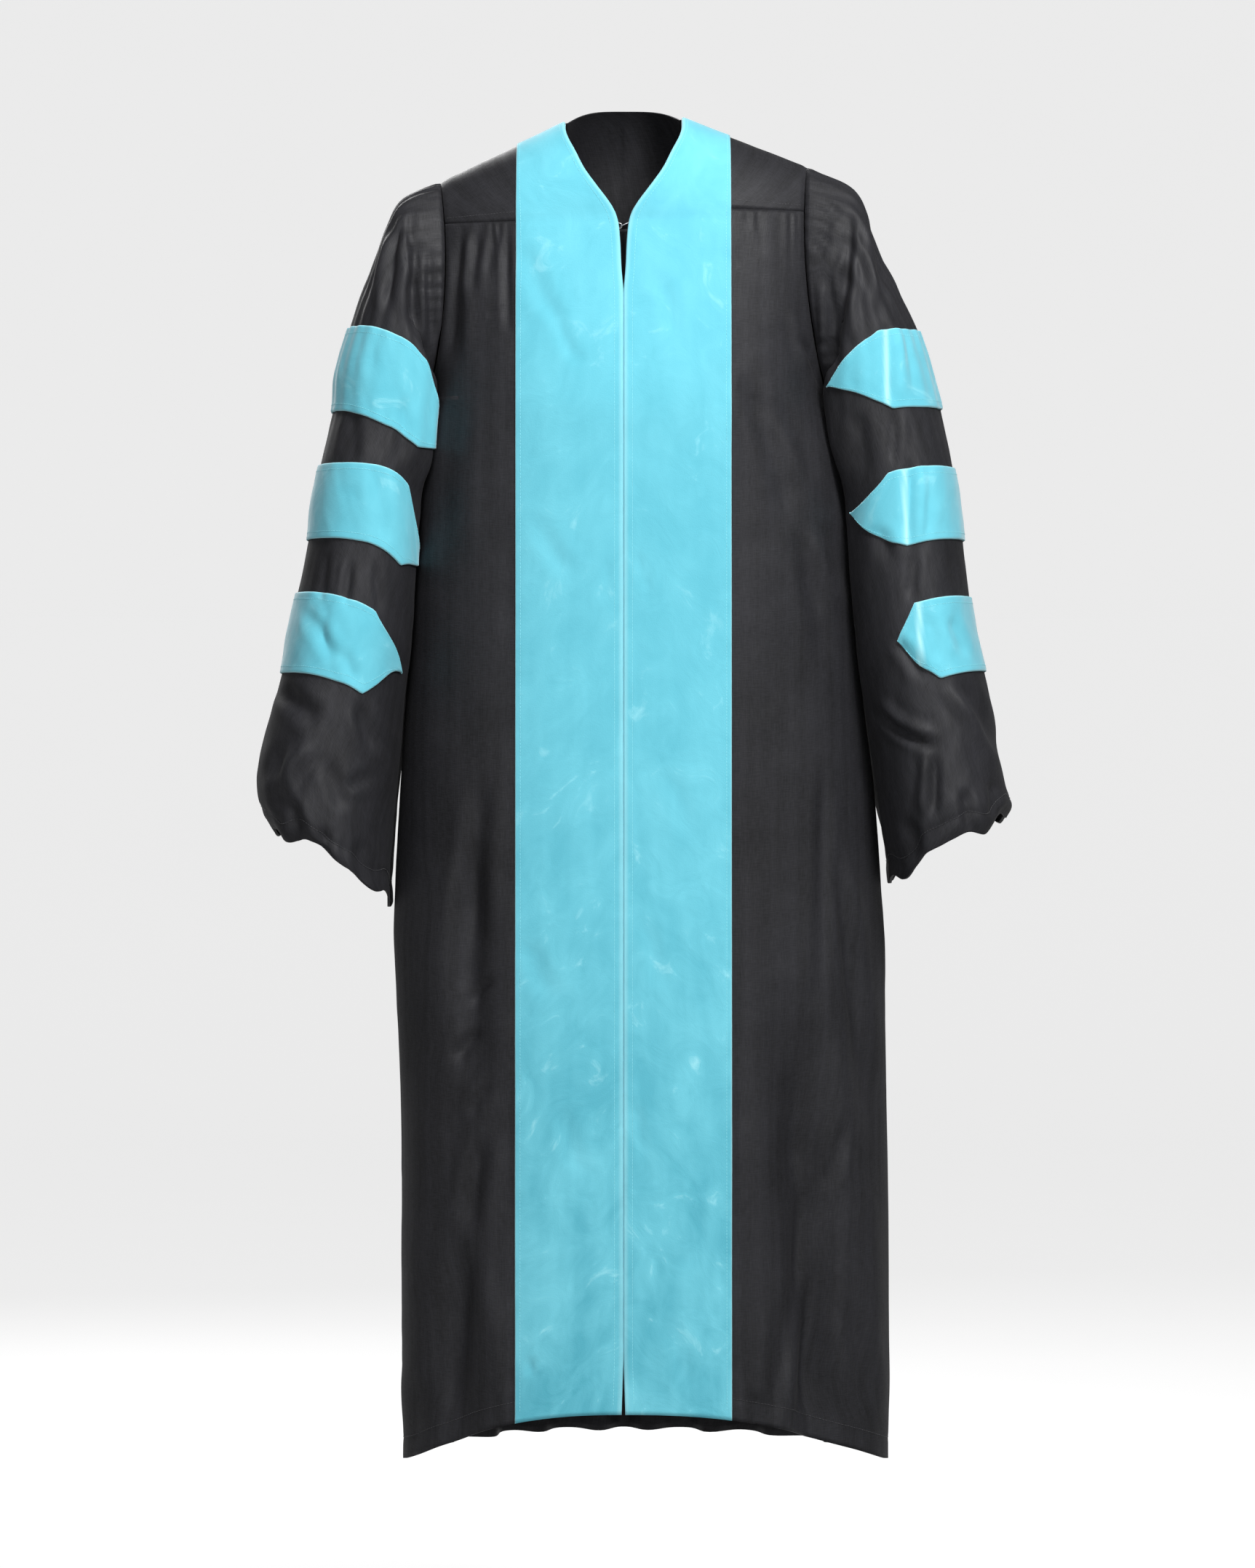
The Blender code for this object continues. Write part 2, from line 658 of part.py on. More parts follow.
def wire(name, points, material):
    """A bent wire of round section."""
    curve = bpy.data.curves.new(name, "CURVE")
    curve.dimensions = "3D"
    curve.bevel_depth = WIRE
    curve.bevel_resolution = 1
    curve.use_fill_caps = True
    line = curve.splines.new("POLY")
    line.points.add(len(points) - 1)
    for target, point in zip(line.points, points):
        target.co = (*point, 1)
    curve.materials.append(material)
    made = bpy.data.objects.new(name, curve)
    bpy.data.collections[GOWN].objects.link(made)
    return made


def material(name, colour, rough, metal=0.0):
    made = bpy.data.materials.new(name)
    made.use_nodes = True
    shader = made.node_tree.nodes["Principled BSDF"]
    shader.inputs["Base Color"].default_value = colour
    shader.inputs["Roughness"].default_value = rough
    shader.inputs["Metallic"].default_value = metal
    made.diffuse_color = colour
    return made


def main():
    for old in list(bpy.data.objects):
        bpy.data.objects.remove(old, do_unlink=True)
    bpy.context.scene.collection.children.link(bpy.data.collections.new(GOWN))
    black = material("black_cloth", BLACK, 0.75)
    velvet = material("turquoise_velvet", TURQUOISE, 0.8)
    steel = material("steel", STEEL, 0.35, 1.0)

    skins = {"back": {"skin": back_skin(), "closed": False, "flip": -1}}
    for side, values in SIDES.items():
        flip = values["sign"]
        skins["front_" + side] = {"skin": front_half(side), "closed": False, "flip": flip}
        skins["sleeve_" + side] = {"skin": sleeve_skin(side), "closed": True, "flip": -flip}
    split_for_normals = joined_normals(skins)
    for side in SIDES:
        front, sleeve = skins["front_" + side], skins["sleeve_" + side]
        front["skin"] = fold_front(side, front["skin"], split_for_normals["front_" + side])
        sleeve["skin"] = gather_sleeve(sleeve["skin"], split_for_normals["sleeve_" + side])
    skins["back"]["skin"] = fold_back(skins["back"]["skin"], split_for_normals["back"])
    normals = joined_normals(skins)

    back, up = skins["back"]["skin"], normals["back"]
    on_shoulder = (np.abs(back[0, :, 0]) >= NECK_X - 1e-6).astype(float)
    yoke, below = slice(0, YOKE_ROWS + 1), slice(YOKE_ROWS, None)
    wall("back_yoke", *two_skins(back[yoke], up[yoke], on_shoulder, True, True, True), black, flip=-1)
    every = np.ones(back.shape[1])
    wall("back", *two_skins(back[below], up[below], every, False, True, True, UNDERARM_ROW), black, flip=-1)

    insides = {}
    for side, values in SIDES.items():
        flip = values["sign"]
        skin, up = skins["front_" + side]["skin"], normals["front_" + side]
        every = np.ones(skin.shape[1])
        upper = two_skins(skin[yoke], up[yoke], every, True, False, True)
        wall("front_yoke_" + side, *upper, black, flip=flip)
        lower = two_skins(skin[below], up[below], every, False, False, True, UNDERARM_ROW)
        wall("front_" + side, *lower, black, flip=flip)
        insides[side] = lower[1], up[below]
        panel = slice(None), slice(0, FRONT_INNER + 1)
        strip = skin[panel].copy()
        strip[0] += 2 * shift(strip[0], up[panel][0], strip[1] - strip[0])
        laid("velvet_" + side, strip, up[panel], velvet, LAID, PILE, flip)

        skin, up = skins["sleeve_" + side]["skin"], normals["sleeve_" + side]
        outer = skin.copy()
        outer[0] += shift_ring(skin[0], up[0], skin[1] - skin[0])
        wall("sleeve_" + side, outer, outer - WALL * up, black, closed=True, flip=-flip)
        for i, spec in enumerate(BARS[side], start=1):
            bar(f"bar_{side}_{i}", skin, up, spec, velvet, -flip)

    zip_tape(insides, black)
    zip_slider(insides["right"], steel)

    y = behind_neck(insides) + WIRE + LAID
    wire("neck_eye", [(x, y, HOOK_Z + z) for x, z in EYE_LINE], steel)
    wire("neck_hook", [(x, y + deep, HOOK_Z + z) for x, deep, z in HOOK_LINE], steel)


def behind_neck(insides):
    """Depth of the fronts' inner skin at the top of the neck hook."""
    inner = insides["right"][0]
    return float(np.interp(-HOOK_Z - HOOK_RISE, -inner[:, 0, 2], inner[:, 0, 1]))


if __name__ == "__main__":
    main()
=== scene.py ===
"""Doctoral graduation gown in its worn form, dressed in cloth, velvet and sewing.

Metres. +X is the wearer's left, -Y the front and +Z up, with the origin midway between the
shoulder seams. "right" and "left" are the wearer's. Each cloth piece is a thin closed shell on
the form of its solid, with its folds pressed in by listed strokes.
"""

import functools
import math

import bpy
import numpy as np
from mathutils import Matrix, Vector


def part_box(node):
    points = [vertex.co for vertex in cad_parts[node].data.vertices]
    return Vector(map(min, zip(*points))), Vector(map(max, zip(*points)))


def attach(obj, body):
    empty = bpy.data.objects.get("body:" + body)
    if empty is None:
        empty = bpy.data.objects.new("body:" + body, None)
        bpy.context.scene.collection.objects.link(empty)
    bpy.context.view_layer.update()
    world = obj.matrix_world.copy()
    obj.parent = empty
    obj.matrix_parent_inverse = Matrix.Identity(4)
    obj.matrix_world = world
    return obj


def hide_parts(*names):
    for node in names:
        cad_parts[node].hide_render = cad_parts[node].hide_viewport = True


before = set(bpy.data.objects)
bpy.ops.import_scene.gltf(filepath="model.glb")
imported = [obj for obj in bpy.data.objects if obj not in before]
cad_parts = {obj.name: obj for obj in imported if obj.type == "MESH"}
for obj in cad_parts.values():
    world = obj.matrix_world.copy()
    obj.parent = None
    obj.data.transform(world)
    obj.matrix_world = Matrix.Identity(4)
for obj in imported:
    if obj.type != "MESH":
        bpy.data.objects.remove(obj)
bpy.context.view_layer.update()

bl_info = {
    "name": "Doctoral gown",
    "version": (1, 0, 0),
    "blender": (4, 5, 0),
    "location": "View3D > Sidebar > Gown",
    "description": "Cuts, folds and sews a doctoral gown in its worn form",
    "category": "Add Mesh",
}

# Body section: |x/half|^n + |y/depth|^n = 1, closing over the shoulders
SQUARE = 2.3
CREST_Z = 0.071
CREST_ROUND = 0.010
SHOULDER_DROP = 0.120
TIP_X = 0.190
SCOOP = 0.012
NECK_X = 0.0605
NECK_BACK_Z = 0.066
NECK_BACK_Y = 0.070
UNDERARM_Z = -0.240
ARM_FRONT = 0.058
ARM_BACK = 0.065
YOKE_AT = 54  # degrees of armhole where the yokes end
PANEL_X = 0.110  # outer edge of the velvet
HEM_SIDE = -1.335
HEM_FRONT = -1.277
HEM_BACK = -1.323
HEM_CURVE = 2.4

# z, half width right, half width left, depth in front, depth behind
BODY = np.array(
    (
        (-0.060, 0.200, 0.206, 0.095, 0.100),
        (-0.240, 0.202, 0.211, 0.128, 0.120),
        (-0.300, 0.209, 0.226, 0.130, 0.124),
        (-0.394, 0.215, 0.236, 0.132, 0.130),
        (-0.476, 0.220, 0.241, 0.134, 0.136),
        (-0.557, 0.226, 0.249, 0.137, 0.141),
        (-0.638, 0.231, 0.259, 0.140, 0.146),
        (-0.728, 0.236, 0.266, 0.143, 0.151),
        (-0.790, 0.237, 0.269, 0.146, 0.154),
        (-0.926, 0.232, 0.272, 0.150, 0.162),
        (-1.152, 0.229, 0.275, 0.157, 0.174),
        (-1.335, 0.227, 0.271, 0.162, 0.185),
    )
)
NECK_BACK_DEPTH = float(BODY[0, 4])

# z, distance of the front opening's edge from the centre line
OPENING = np.array(
    (
        (0.080, 0.0605),
        (0.040, 0.0603),
        (0.029, 0.0577),
        (0.011, 0.0490),
        (-0.007, 0.0402),
        (-0.025, 0.0277),
        (-0.043, 0.0143),
        (-0.052, 0.0090),
        (-0.061, 0.0060),
        (-0.079, 0.0038),
        (-0.110, 0.0023),
        (-0.139, 0.00025),
        (-1.207, 0.00025),
        (-1.277, 0.0020),
    )
)

SIDES = {
    "right": {"sign": -1, "half": 1, "slope": 0.475, "underarm": 0.202},
    "left": {"sign": 1, "half": 2, "slope": 0.385, "underarm": 0.211},
}

# Sleeve rings: outermost point, innermost point, half depth, droop exponent
SLEEVE_SQUARE = 2.3
SLEEVE_BACK_EXTRA = 0.004
BODY_CLEARANCE = 0.004
CLEARANCE_ROUND = 0.004
SLEEVE_RINGS = {
    "right": (
        (0.2277, -0.0341, 0.205, -0.247, 0.068, 1.2),
        (0.2448, -0.0650, 0.198, -0.252, 0.074, 1.5),
        (0.2639, -0.1155, 0.188, -0.257, 0.079, 2.0),
        (0.2822, -0.1670, 0.177, -0.263, 0.084, 3.0),
        (0.2965, -0.2120, 0.178, -0.297, 0.088, 2.4),
        (0.3005, -0.2540, 0.182, -0.330, 0.091, 2.1),
        (0.3135, -0.3090, 0.200, -0.378, 0.098, 5.0),
        (0.3225, -0.3480, 0.205, -0.420, 0.102, 4.6),
        (0.3268, -0.3860, 0.208, -0.461, 0.105, 4.2),
        (0.3360, -0.4410, 0.215, -0.513, 0.112, 3.0),
        (0.3455, -0.4835, 0.221, -0.558, 0.117, 8.0),
        (0.3535, -0.5240, 0.226, -0.604, 0.121, 3.0),
        (0.3655, -0.5670, 0.231, -0.650, 0.127, 1.8),
        (0.3762, -0.6094, 0.235, -0.699, 0.133, 1.4),
        (0.3795, -0.6380, 0.238, -0.728, 0.137, 1.4),
        (0.3755, -0.6680, 0.238, -0.750, 0.138, 1.5),
        (0.3660, -0.6850, 0.238, -0.760, 0.135, 1.6),
    ),
    "left": (
        (0.2360, -0.0250, 0.213, -0.247, 0.068, 1.2),
        (0.2555, -0.0660, 0.208, -0.252, 0.074, 1.6),
        (0.2752, -0.1155, 0.202, -0.257, 0.079, 2.2),
        (0.3025, -0.1706, 0.196, -0.263, 0.084, 4.0),
        (0.3155, -0.2105, 0.197, -0.296, 0.088, 4.0),
        (0.3265, -0.2515, 0.200, -0.327, 0.091, 4.0),
        (0.3415, -0.3115, 0.222, -0.374, 0.098, 3.6),
        (0.3475, -0.3500, 0.225, -0.412, 0.102, 3.2),
        (0.3510, -0.3870, 0.228, -0.450, 0.105, 3.0),
        (0.3575, -0.4450, 0.236, -0.503, 0.112, 2.8),
        (0.3635, -0.4830, 0.241, -0.543, 0.117, 2.6),
        (0.3730, -0.5226, 0.247, -0.587, 0.121, 2.4),
        (0.3815, -0.5641, 0.254, -0.632, 0.127, 2.2),
        (0.3883, -0.6094, 0.261, -0.680, 0.133, 2.0),
        (0.3945, -0.6380, 0.266, -0.708, 0.137, 1.8),
        (0.4025, -0.6580, 0.270, -0.728, 0.138, 1.6),
        (0.3960, -0.6730, 0.272, -0.741, 0.135, 1.5),
    ),
}
SLEEVE_QUADS = 40  # columns of the solid's sleeve, which gathers and bars are counted in
GATHERS = (0.0, 0.0030, 0.0032, 0.0028, 0.0020, 0.0014, 0.0008)

# Bars: upper ring, then columns of the front corners and tip and of the back corners and tip
BARS = {
    "right": ((4, 13, 18, 13, -6, -11, -6), (7, 14, 18, 14, -8, -13, -8), (10, 12, 16.5, 12, -8, -12, -8)),
    "left": ((4, 9, 15, 9, -9, -15, -9), (7, 11, 16, 10, -11, -16, -10), (10, 10, 12, 9, -12, -16, -11)),
}
# Rows by which the wearer drew each bar's front tip up, and the X of a painted highlight: a pale line down each bar
# where its pressed fold catches the light
BAR_TIP_RISE = {"right": (0.0, 0.0, 0.0), "left": (0.65, 0.90, 0.28)}
BAR_HIGHLIGHT_X = {"right": (0.0, 0.0, 0.0), "left": (0.273, 0.289, 0.300)}

# Flutes of the back, counted in the solid's columns; z and depth
BACK_HALF = 22
BACK_SPREAD = 0.029
BACK_SPREAD_FROM = -0.07
FLUTE_QUADS = 4
FLUTE_DEPTH = np.array(((-0.060, 0.0), (-0.085, 0.0022), (-0.300, 0.0040), (-0.800, 0.0080), (-1.335, 0.0130)))
# How deep each flute hangs, from the wearer's right to the left
FLUTE_SHARE = (0.9, 1.15, 0.8, 1.2, 0.95, 1.1, 0.85, 1.2, 0.9, 1.1, 0.85, 1.0)

# Large folds that the solids have too: x, z at each end, half width, depth
FRONT_FOLDS = {
    "left": ((0.168, -0.840, 0.205, -1.340, 0.024, 0.020), (0.232, -0.740, 0.252, -0.960, 0.018, 0.007)),
    "right": ((0.152, -0.690, 0.156, -0.900, 0.018, 0.008), (0.172, -1.080, 0.176, -1.345, 0.020, 0.007)),
}

# Creases: x, z at each end, sideways bow, half width at each end, depth; a ridge is negative
FRONT_CREASES = {
    "right": (
        (0.168, -0.070, 0.180, -0.215, 0.002, 0.008, 0.010, 0.0065),
        (0.147, -0.066, 0.158, -0.140, 0.001, 0.005, 0.006, 0.0032),
        (0.157, -0.066, 0.167, -0.150, 0.000, 0.004, 0.006, -0.0022),
        (0.119, -0.068, 0.117, -0.185, 0.001, 0.004, 0.005, 0.0028),
        (0.132, -0.070, 0.140, -0.120, 0.000, 0.004, 0.005, 0.0018),
        (0.142, -0.158, 0.120, -0.150, 0.001, 0.003, 0.003, 0.0012),
        (0.165, -0.230, 0.186, -0.420, 0.006, 0.012, 0.016, 0.0030),
        (0.141, -0.620, 0.156, -0.810, 0.004, 0.009, 0.012, 0.0045),
        (0.152, -0.690, 0.164, -0.880, 0.003, 0.010, 0.013, 0.0045),
        (0.130, -0.836, 0.160, -0.866, 0.003, 0.0045, 0.006, 0.0045),
        (0.146, -0.888, 0.174, -0.924, 0.004, 0.005, 0.007, 0.0045),
        (0.134, -0.944, 0.158, -0.978, 0.003, 0.006, 0.006, 0.0032),
        (0.141, -0.990, 0.158, -1.110, 0.003, 0.009, 0.010, 0.0065),
        (0.155, -1.095, 0.182, -1.300, 0.004, 0.011, 0.018, 0.0080),
        (0.190, -0.900, 0.206, -1.230, 0.004, 0.016, 0.018, -0.0045),
        (0.128, -1.150, 0.120, -1.300, 0.002, 0.010, 0.012, -0.0030),
        (0.114, -0.893, 0.150, -0.895, 0.000, 0.002, 0.002, 0.0010),
        (0.206, -1.240, 0.214, -1.330, 0.002, 0.010, 0.012, 0.0040),
    ),
    "left": (
        (0.170, -0.0505, 0.194, -0.0515, 0.000, 0.0018, 0.0018, 0.0013),
        (0.178, -0.175, 0.212, -0.240, 0.004, 0.005, 0.006, 0.0042),
        (0.168, -0.150, 0.190, -0.215, 0.003, 0.006, 0.006, -0.0020),
        (0.118, -0.215, 0.174, -0.385, 0.008, 0.010, 0.014, 0.0034),
        (0.150, -0.240, 0.200, -0.330, 0.005, 0.008, 0.010, 0.0026),
        (0.186, -0.370, 0.224, -0.470, 0.004, 0.008, 0.011, -0.0040),
        (0.178, -0.400, 0.208, -0.520, 0.004, 0.008, 0.010, 0.0030),
        (0.203, -0.600, 0.198, -0.890, 0.003, 0.006, 0.008, 0.0034),
        (0.226, -0.700, 0.262, -0.960, 0.004, 0.008, 0.010, -0.0040),
        (0.214, -0.690, 0.245, -0.930, 0.004, 0.006, 0.008, 0.0040),
        (0.195, -0.860, 0.180, -1.060, 0.004, 0.014, 0.018, 0.0050),
        (0.206, -1.040, 0.163, -1.300, 0.005, 0.007, 0.010, -0.0065),
        (0.223, -0.975, 0.205, -1.060, 0.003, 0.005, 0.006, 0.0045),
        (0.196, -0.990, 0.190, -1.330, 0.003, 0.013, 0.018, 0.0085),
        (0.228, -1.160, 0.246, -1.290, 0.003, 0.008, 0.011, 0.0065),
        (0.130, -1.250, 0.139, -1.310, 0.002, 0.008, 0.010, 0.0055),
        (0.162, -1.150, 0.145, -1.310, 0.003, 0.008, 0.011, 0.0065),
        (0.246, -1.030, 0.256, -1.240, 0.003, 0.010, 0.012, -0.0035),
    ),
}
BACK_CREASES = (
    (-0.120, -0.100, -0.150, -0.240, 0.006, 0.007, 0.010, 0.0045),
    (0.125, -0.095, 0.158, -0.250, -0.006, 0.007, 0.010, 0.0045),
    (-0.060, -0.085, -0.072, -0.200, 0.003, 0.005, 0.008, 0.0030),
    (0.048, -0.085, 0.060, -0.180, 0.003, 0.005, 0.008, 0.0030),
    (-0.175, -0.330, -0.120, -0.420, 0.010, 0.007, 0.009, 0.0045),
    (0.185, -0.300, 0.130, -0.390, 0.010, 0.007, 0.009, 0.0045),
    (-0.090, -0.520, -0.045, -0.600, 0.008, 0.006, 0.008, 0.0035),
    (0.030, -0.580, 0.085, -0.650, 0.008, 0.006, 0.008, 0.0035),
    (-0.150, -0.700, -0.128, -0.860, 0.005, 0.008, 0.012, 0.0050),
    (0.155, -0.720, 0.168, -0.900, 0.005, 0.008, 0.012, 0.0050),
    (0.010, -0.860, -0.012, -1.080, 0.004, 0.008, 0.010, -0.0040),
    (-0.100, -1.000, -0.075, -1.200, 0.005, 0.008, 0.012, 0.0050),
    (0.110, -1.050, 0.092, -1.260, 0.005, 0.008, 0.012, 0.0050),
    (-0.190, -1.080, -0.204, -1.290, 0.004, 0.010, 0.014, 0.0060),
    (0.215, -1.020, 0.228, -1.300, 0.004, 0.010, 0.014, 0.0060),
    (-0.020, -1.180, -0.034, -1.300, 0.003, 0.007, 0.009, 0.0040),
)
SLEEVE_FRONT_CREASES = {
    "right": (
        (0.230, -0.052, 0.244, -0.160, 0.002, 0.004, 0.005, 0.0046),
        (0.212, -0.068, 0.215, -0.182, 0.001, 0.004, 0.006, 0.0046),
        (0.200, -0.080, 0.195, -0.200, 0.001, 0.004, 0.006, 0.0050),
        (0.218, -0.042, 0.219, -0.095, 0.000, 0.003, 0.003, 0.0025),
        (0.238, -0.060, 0.255, -0.158, 0.002, 0.005, 0.006, -0.0030),
        (0.221, -0.072, 0.228, -0.172, 0.001, 0.005, 0.006, -0.0038),
        (0.205, -0.100, 0.204, -0.190, 0.001, 0.004, 0.005, -0.0030),
        (0.222, -0.235, 0.226, -0.315, 0.002, 0.006, 0.008, 0.0032),
        (0.274, -0.250, 0.278, -0.315, 0.001, 0.006, 0.007, 0.0026),
        (0.250, -0.310, 0.243, -0.400, 0.003, 0.007, 0.008, 0.0022),
        (0.303, -0.395, 0.309, -0.455, 0.001, 0.004, 0.005, 0.0032),
        (0.277, -0.405, 0.284, -0.462, 0.001, 0.004, 0.005, 0.0032),
        (0.254, -0.410, 0.246, -0.465, 0.001, 0.004, 0.005, 0.0030),
        (0.321, -0.455, 0.288, -0.515, 0.004, 0.006, 0.007, 0.0030),
        (0.300, -0.452, 0.306, -0.500, 0.002, 0.005, 0.006, 0.0018),
        (0.284, -0.500, 0.270, -0.535, 0.002, 0.005, 0.006, 0.0020),
        (0.350, -0.535, 0.305, -0.575, 0.004, 0.008, 0.010, 0.0055),
        (0.270, -0.553, 0.248, -0.606, 0.003, 0.006, 0.008, 0.0055),
        (0.312, -0.592, 0.360, -0.655, 0.004, 0.008, 0.010, -0.0055),
        (0.352, -0.590, 0.342, -0.680, 0.005, 0.007, 0.008, 0.0045),
        (0.286, -0.640, 0.252, -0.626, 0.002, 0.005, 0.006, 0.0034),
        (0.300, -0.610, 0.280, -0.668, 0.003, 0.007, 0.008, 0.0034),
        (0.337, -0.650, 0.330, -0.700, 0.001, 0.006, 0.007, 0.0055),
        (0.299, -0.680, 0.308, -0.725, 0.001, 0.006, 0.007, 0.0045),
        (0.268, -0.690, 0.262, -0.745, 0.001, 0.006, 0.008, 0.0045),
    ),
    "left": (
        (0.200, -0.043, 0.216, -0.061, 0.001, 0.0025, 0.003, 0.0026),
        (0.197, -0.053, 0.216, -0.073, 0.001, 0.0025, 0.003, 0.0028),
        (0.194, -0.064, 0.213, -0.086, 0.001, 0.0025, 0.003, 0.0028),
        (0.191, -0.077, 0.208, -0.099, 0.001, 0.0025, 0.003, 0.0026),
        (0.205, -0.036, 0.225, -0.056, 0.001, 0.0025, 0.003, 0.0024),
        (0.225, -0.054, 0.215, -0.112, 0.002, 0.003, 0.004, 0.0040),
        (0.232, -0.043, 0.219, -0.182, 0.003, 0.004, 0.006, 0.0056),
        (0.241, -0.043, 0.258, -0.160, 0.003, 0.006, 0.007, -0.0040),
        (0.250, -0.050, 0.271, -0.152, 0.002, 0.004, 0.006, 0.0036),
        (0.209, -0.110, 0.216, -0.224, 0.003, 0.005, 0.007, 0.0060),
        (0.203, -0.116, 0.206, -0.190, 0.001, 0.004, 0.004, -0.0030),
        (0.232, -0.120, 0.236, -0.195, 0.001, 0.005, 0.006, -0.0028),
        (0.2785, -0.160, 0.283, -0.256, 0.001, 0.005, 0.006, -0.0026),
        (0.268, -0.165, 0.271, -0.250, 0.001, 0.006, 0.006, 0.0024),
        (0.278, -0.252, 0.272, -0.315, 0.001, 0.005, 0.005, 0.0036),
        (0.236, -0.252, 0.244, -0.326, 0.003, 0.008, 0.009, 0.0034),
        (0.293, -0.300, 0.288, -0.400, 0.002, 0.006, 0.006, 0.0032),
        (0.303, -0.302, 0.299, -0.398, 0.001, 0.005, 0.005, -0.0024),
        (0.298, -0.394, 0.290, -0.455, 0.001, 0.005, 0.006, 0.0036),
        (0.258, -0.372, 0.271, -0.416, 0.002, 0.007, 0.008, 0.0028),
        (0.334, -0.396, 0.338, -0.438, 0.001, 0.005, 0.005, 0.0024),
        (0.330, -0.466, 0.346, -0.512, 0.002, 0.005, 0.006, 0.0024),
        (0.308, -0.462, 0.320, -0.518, 0.002, 0.006, 0.006, 0.0022),
        (0.255, -0.556, 0.327, -0.600, -0.010, 0.004, 0.005, 0.0056),
        (0.258, -0.546, 0.325, -0.588, -0.010, 0.005, 0.006, -0.0030),
        (0.308, -0.600, 0.302, -0.678, 0.001, 0.005, 0.006, -0.0042),
        (0.316, -0.603, 0.314, -0.676, 0.001, 0.005, 0.006, 0.0040),
        (0.320, -0.532, 0.388, -0.650, 0.010, 0.007, 0.009, -0.0045),
        (0.341, -0.525, 0.380, -0.612, 0.004, 0.006, 0.007, 0.0040),
        (0.273, -0.486, 0.308, -0.536, 0.003, 0.006, 0.007, 0.0038),
        (0.345, -0.640, 0.352, -0.695, 0.001, 0.006, 0.007, 0.0050),
        (0.290, -0.670, 0.296, -0.720, 0.001, 0.006, 0.007, 0.0045),
        (0.375, -0.630, 0.380, -0.672, 0.001, 0.005, 0.006, 0.0045),
    ),
}
SLEEVE_BACK_CREASES = (
    (0.205, -0.060, 0.214, -0.190, 0.003, 0.005, 0.007, 0.0050),
    (0.222, -0.050, 0.238, -0.180, 0.003, 0.005, 0.007, 0.0045),
    (0.238, -0.060, 0.262, -0.170, 0.002, 0.005, 0.007, -0.0035),
    (0.215, -0.250, 0.262, -0.330, 0.008, 0.006, 0.008, 0.0045),
    (0.225, -0.340, 0.285, -0.395, 0.010, 0.006, 0.008, 0.0050),
    (0.310, -0.340, 0.255, -0.420, 0.008, 0.006, 0.008, 0.0045),
    (0.330, -0.450, 0.280, -0.500, 0.008, 0.006, 0.008, 0.0040),
    (0.250, -0.500, 0.290, -0.600, 0.008, 0.008, 0.010, 0.0050),
    (0.340, -0.540, 0.325, -0.660, 0.006, 0.008, 0.010, 0.0050),
    (0.300, -0.590, 0.312, -0.690, 0.004, 0.007, 0.009, -0.0045),
    (0.268, -0.630, 0.262, -0.730, 0.004, 0.007, 0.009, 0.0045),
    (0.362, -0.600, 0.370, -0.680, 0.003, 0.006, 0.008, 0.0040),
)
VELVET_CREASES = {
    "right": (
        (0.100, -0.080, 0.064, -0.170, 0.006, 0.010, 0.008, 0.0016),
        (0.072, -0.140, 0.042, -0.215, 0.005, 0.006, 0.006, 0.0014),
        (0.090, -0.360, 0.050, -0.430, 0.004, 0.009, 0.008, 0.0012),
        (0.012, -0.410, 0.020, -0.455, 0.002, 0.005, 0.005, 0.0012),
        (0.096, -0.790, 0.070, -0.860, 0.004, 0.009, 0.009, 0.0014),
        (0.060, -0.960, 0.040, -1.040, 0.004, 0.008, 0.008, 0.0012),
        (0.098, -1.215, 0.088, -1.245, 0.001, 0.003, 0.003, 0.0014),
        (0.088, -1.218, 0.099, -1.242, 0.001, 0.003, 0.003, 0.0012),
    ),
    "left": (
        (0.030, -0.110, 0.052, -0.190, 0.005, 0.007, 0.007, 0.0014),
        (0.098, -0.200, 0.074, -0.300, 0.005, 0.010, 0.009, 0.0014),
        (0.012, -0.400, 0.024, -0.450, 0.002, 0.005, 0.005, 0.0012),
        (0.040, -0.620, 0.066, -0.700, 0.005, 0.009, 0.009, 0.0012),
        (0.020, -0.770, 0.036, -0.850, 0.003, 0.007, 0.007, 0.0014),
        (0.012, -0.960, 0.018, -1.020, 0.002, 0.005, 0.006, 0.0016),
        (0.080, -1.060, 0.058, -1.140, 0.004, 0.008, 0.008, 0.0012),
        (0.050, -1.180, 0.062, -1.260, 0.003, 0.008, 0.008, 0.0014),
    ),
}

# Velvet turning round the cloth's edge: outer skin's distance in and height, then inner skin's
VELVET_TURN = np.array(
    (
        (0.0060, -0.0022, 0.0060, -0.0014),
        (0.0030, -0.0022, 0.0030, -0.0014),
        (0.0012, -0.0021, 0.0014, -0.0014),
        (0.0002, -0.0017, 0.0009, -0.0013),
        (-0.0002, -0.0008, 0.0007, -0.0008),
        (-0.0002, 0.0006, 0.0007, 0.0000),
        (0.0001, 0.0016, 0.0008, 0.0002),
        (0.0008, 0.0021, 0.0011, 0.0003),
        (0.0018, 0.0023, 0.0020, 0.0003),
    )
)

# Zip behind the centre front
ZIP_TOP = -0.152
ZIP_BOTTOM = -1.205
ZIP_HALF = 0.011
LAID = 0.0003  # air between a panel and what lies on it
LAID_BAR = 0.0007
WRAP = 0.0010  # how far the cloth's edge lies inside the velvet that turns round it

# Neck hook and eye
HOOK_Z = -0.0670
HOOK_RISE = 0.008
WIRE = 0.0006
EYE_LINE = (
    (-0.014, 0.0042),
    (-0.004, 0.0032),
    (-0.0016, 0.0012),
    (-0.0016, -0.0012),
    (-0.004, -0.0032),
    (-0.014, -0.0022),
)
HOOK_LINE = (
    (0.0140, 0.0, 0.0056),
    (0.0060, 0.0, 0.0036),
    (0.0008, -0.0014, 0.0012),
    (-0.0034, -0.0014, -0.0006),
    (-0.0038, 0.0, -0.0008),
)

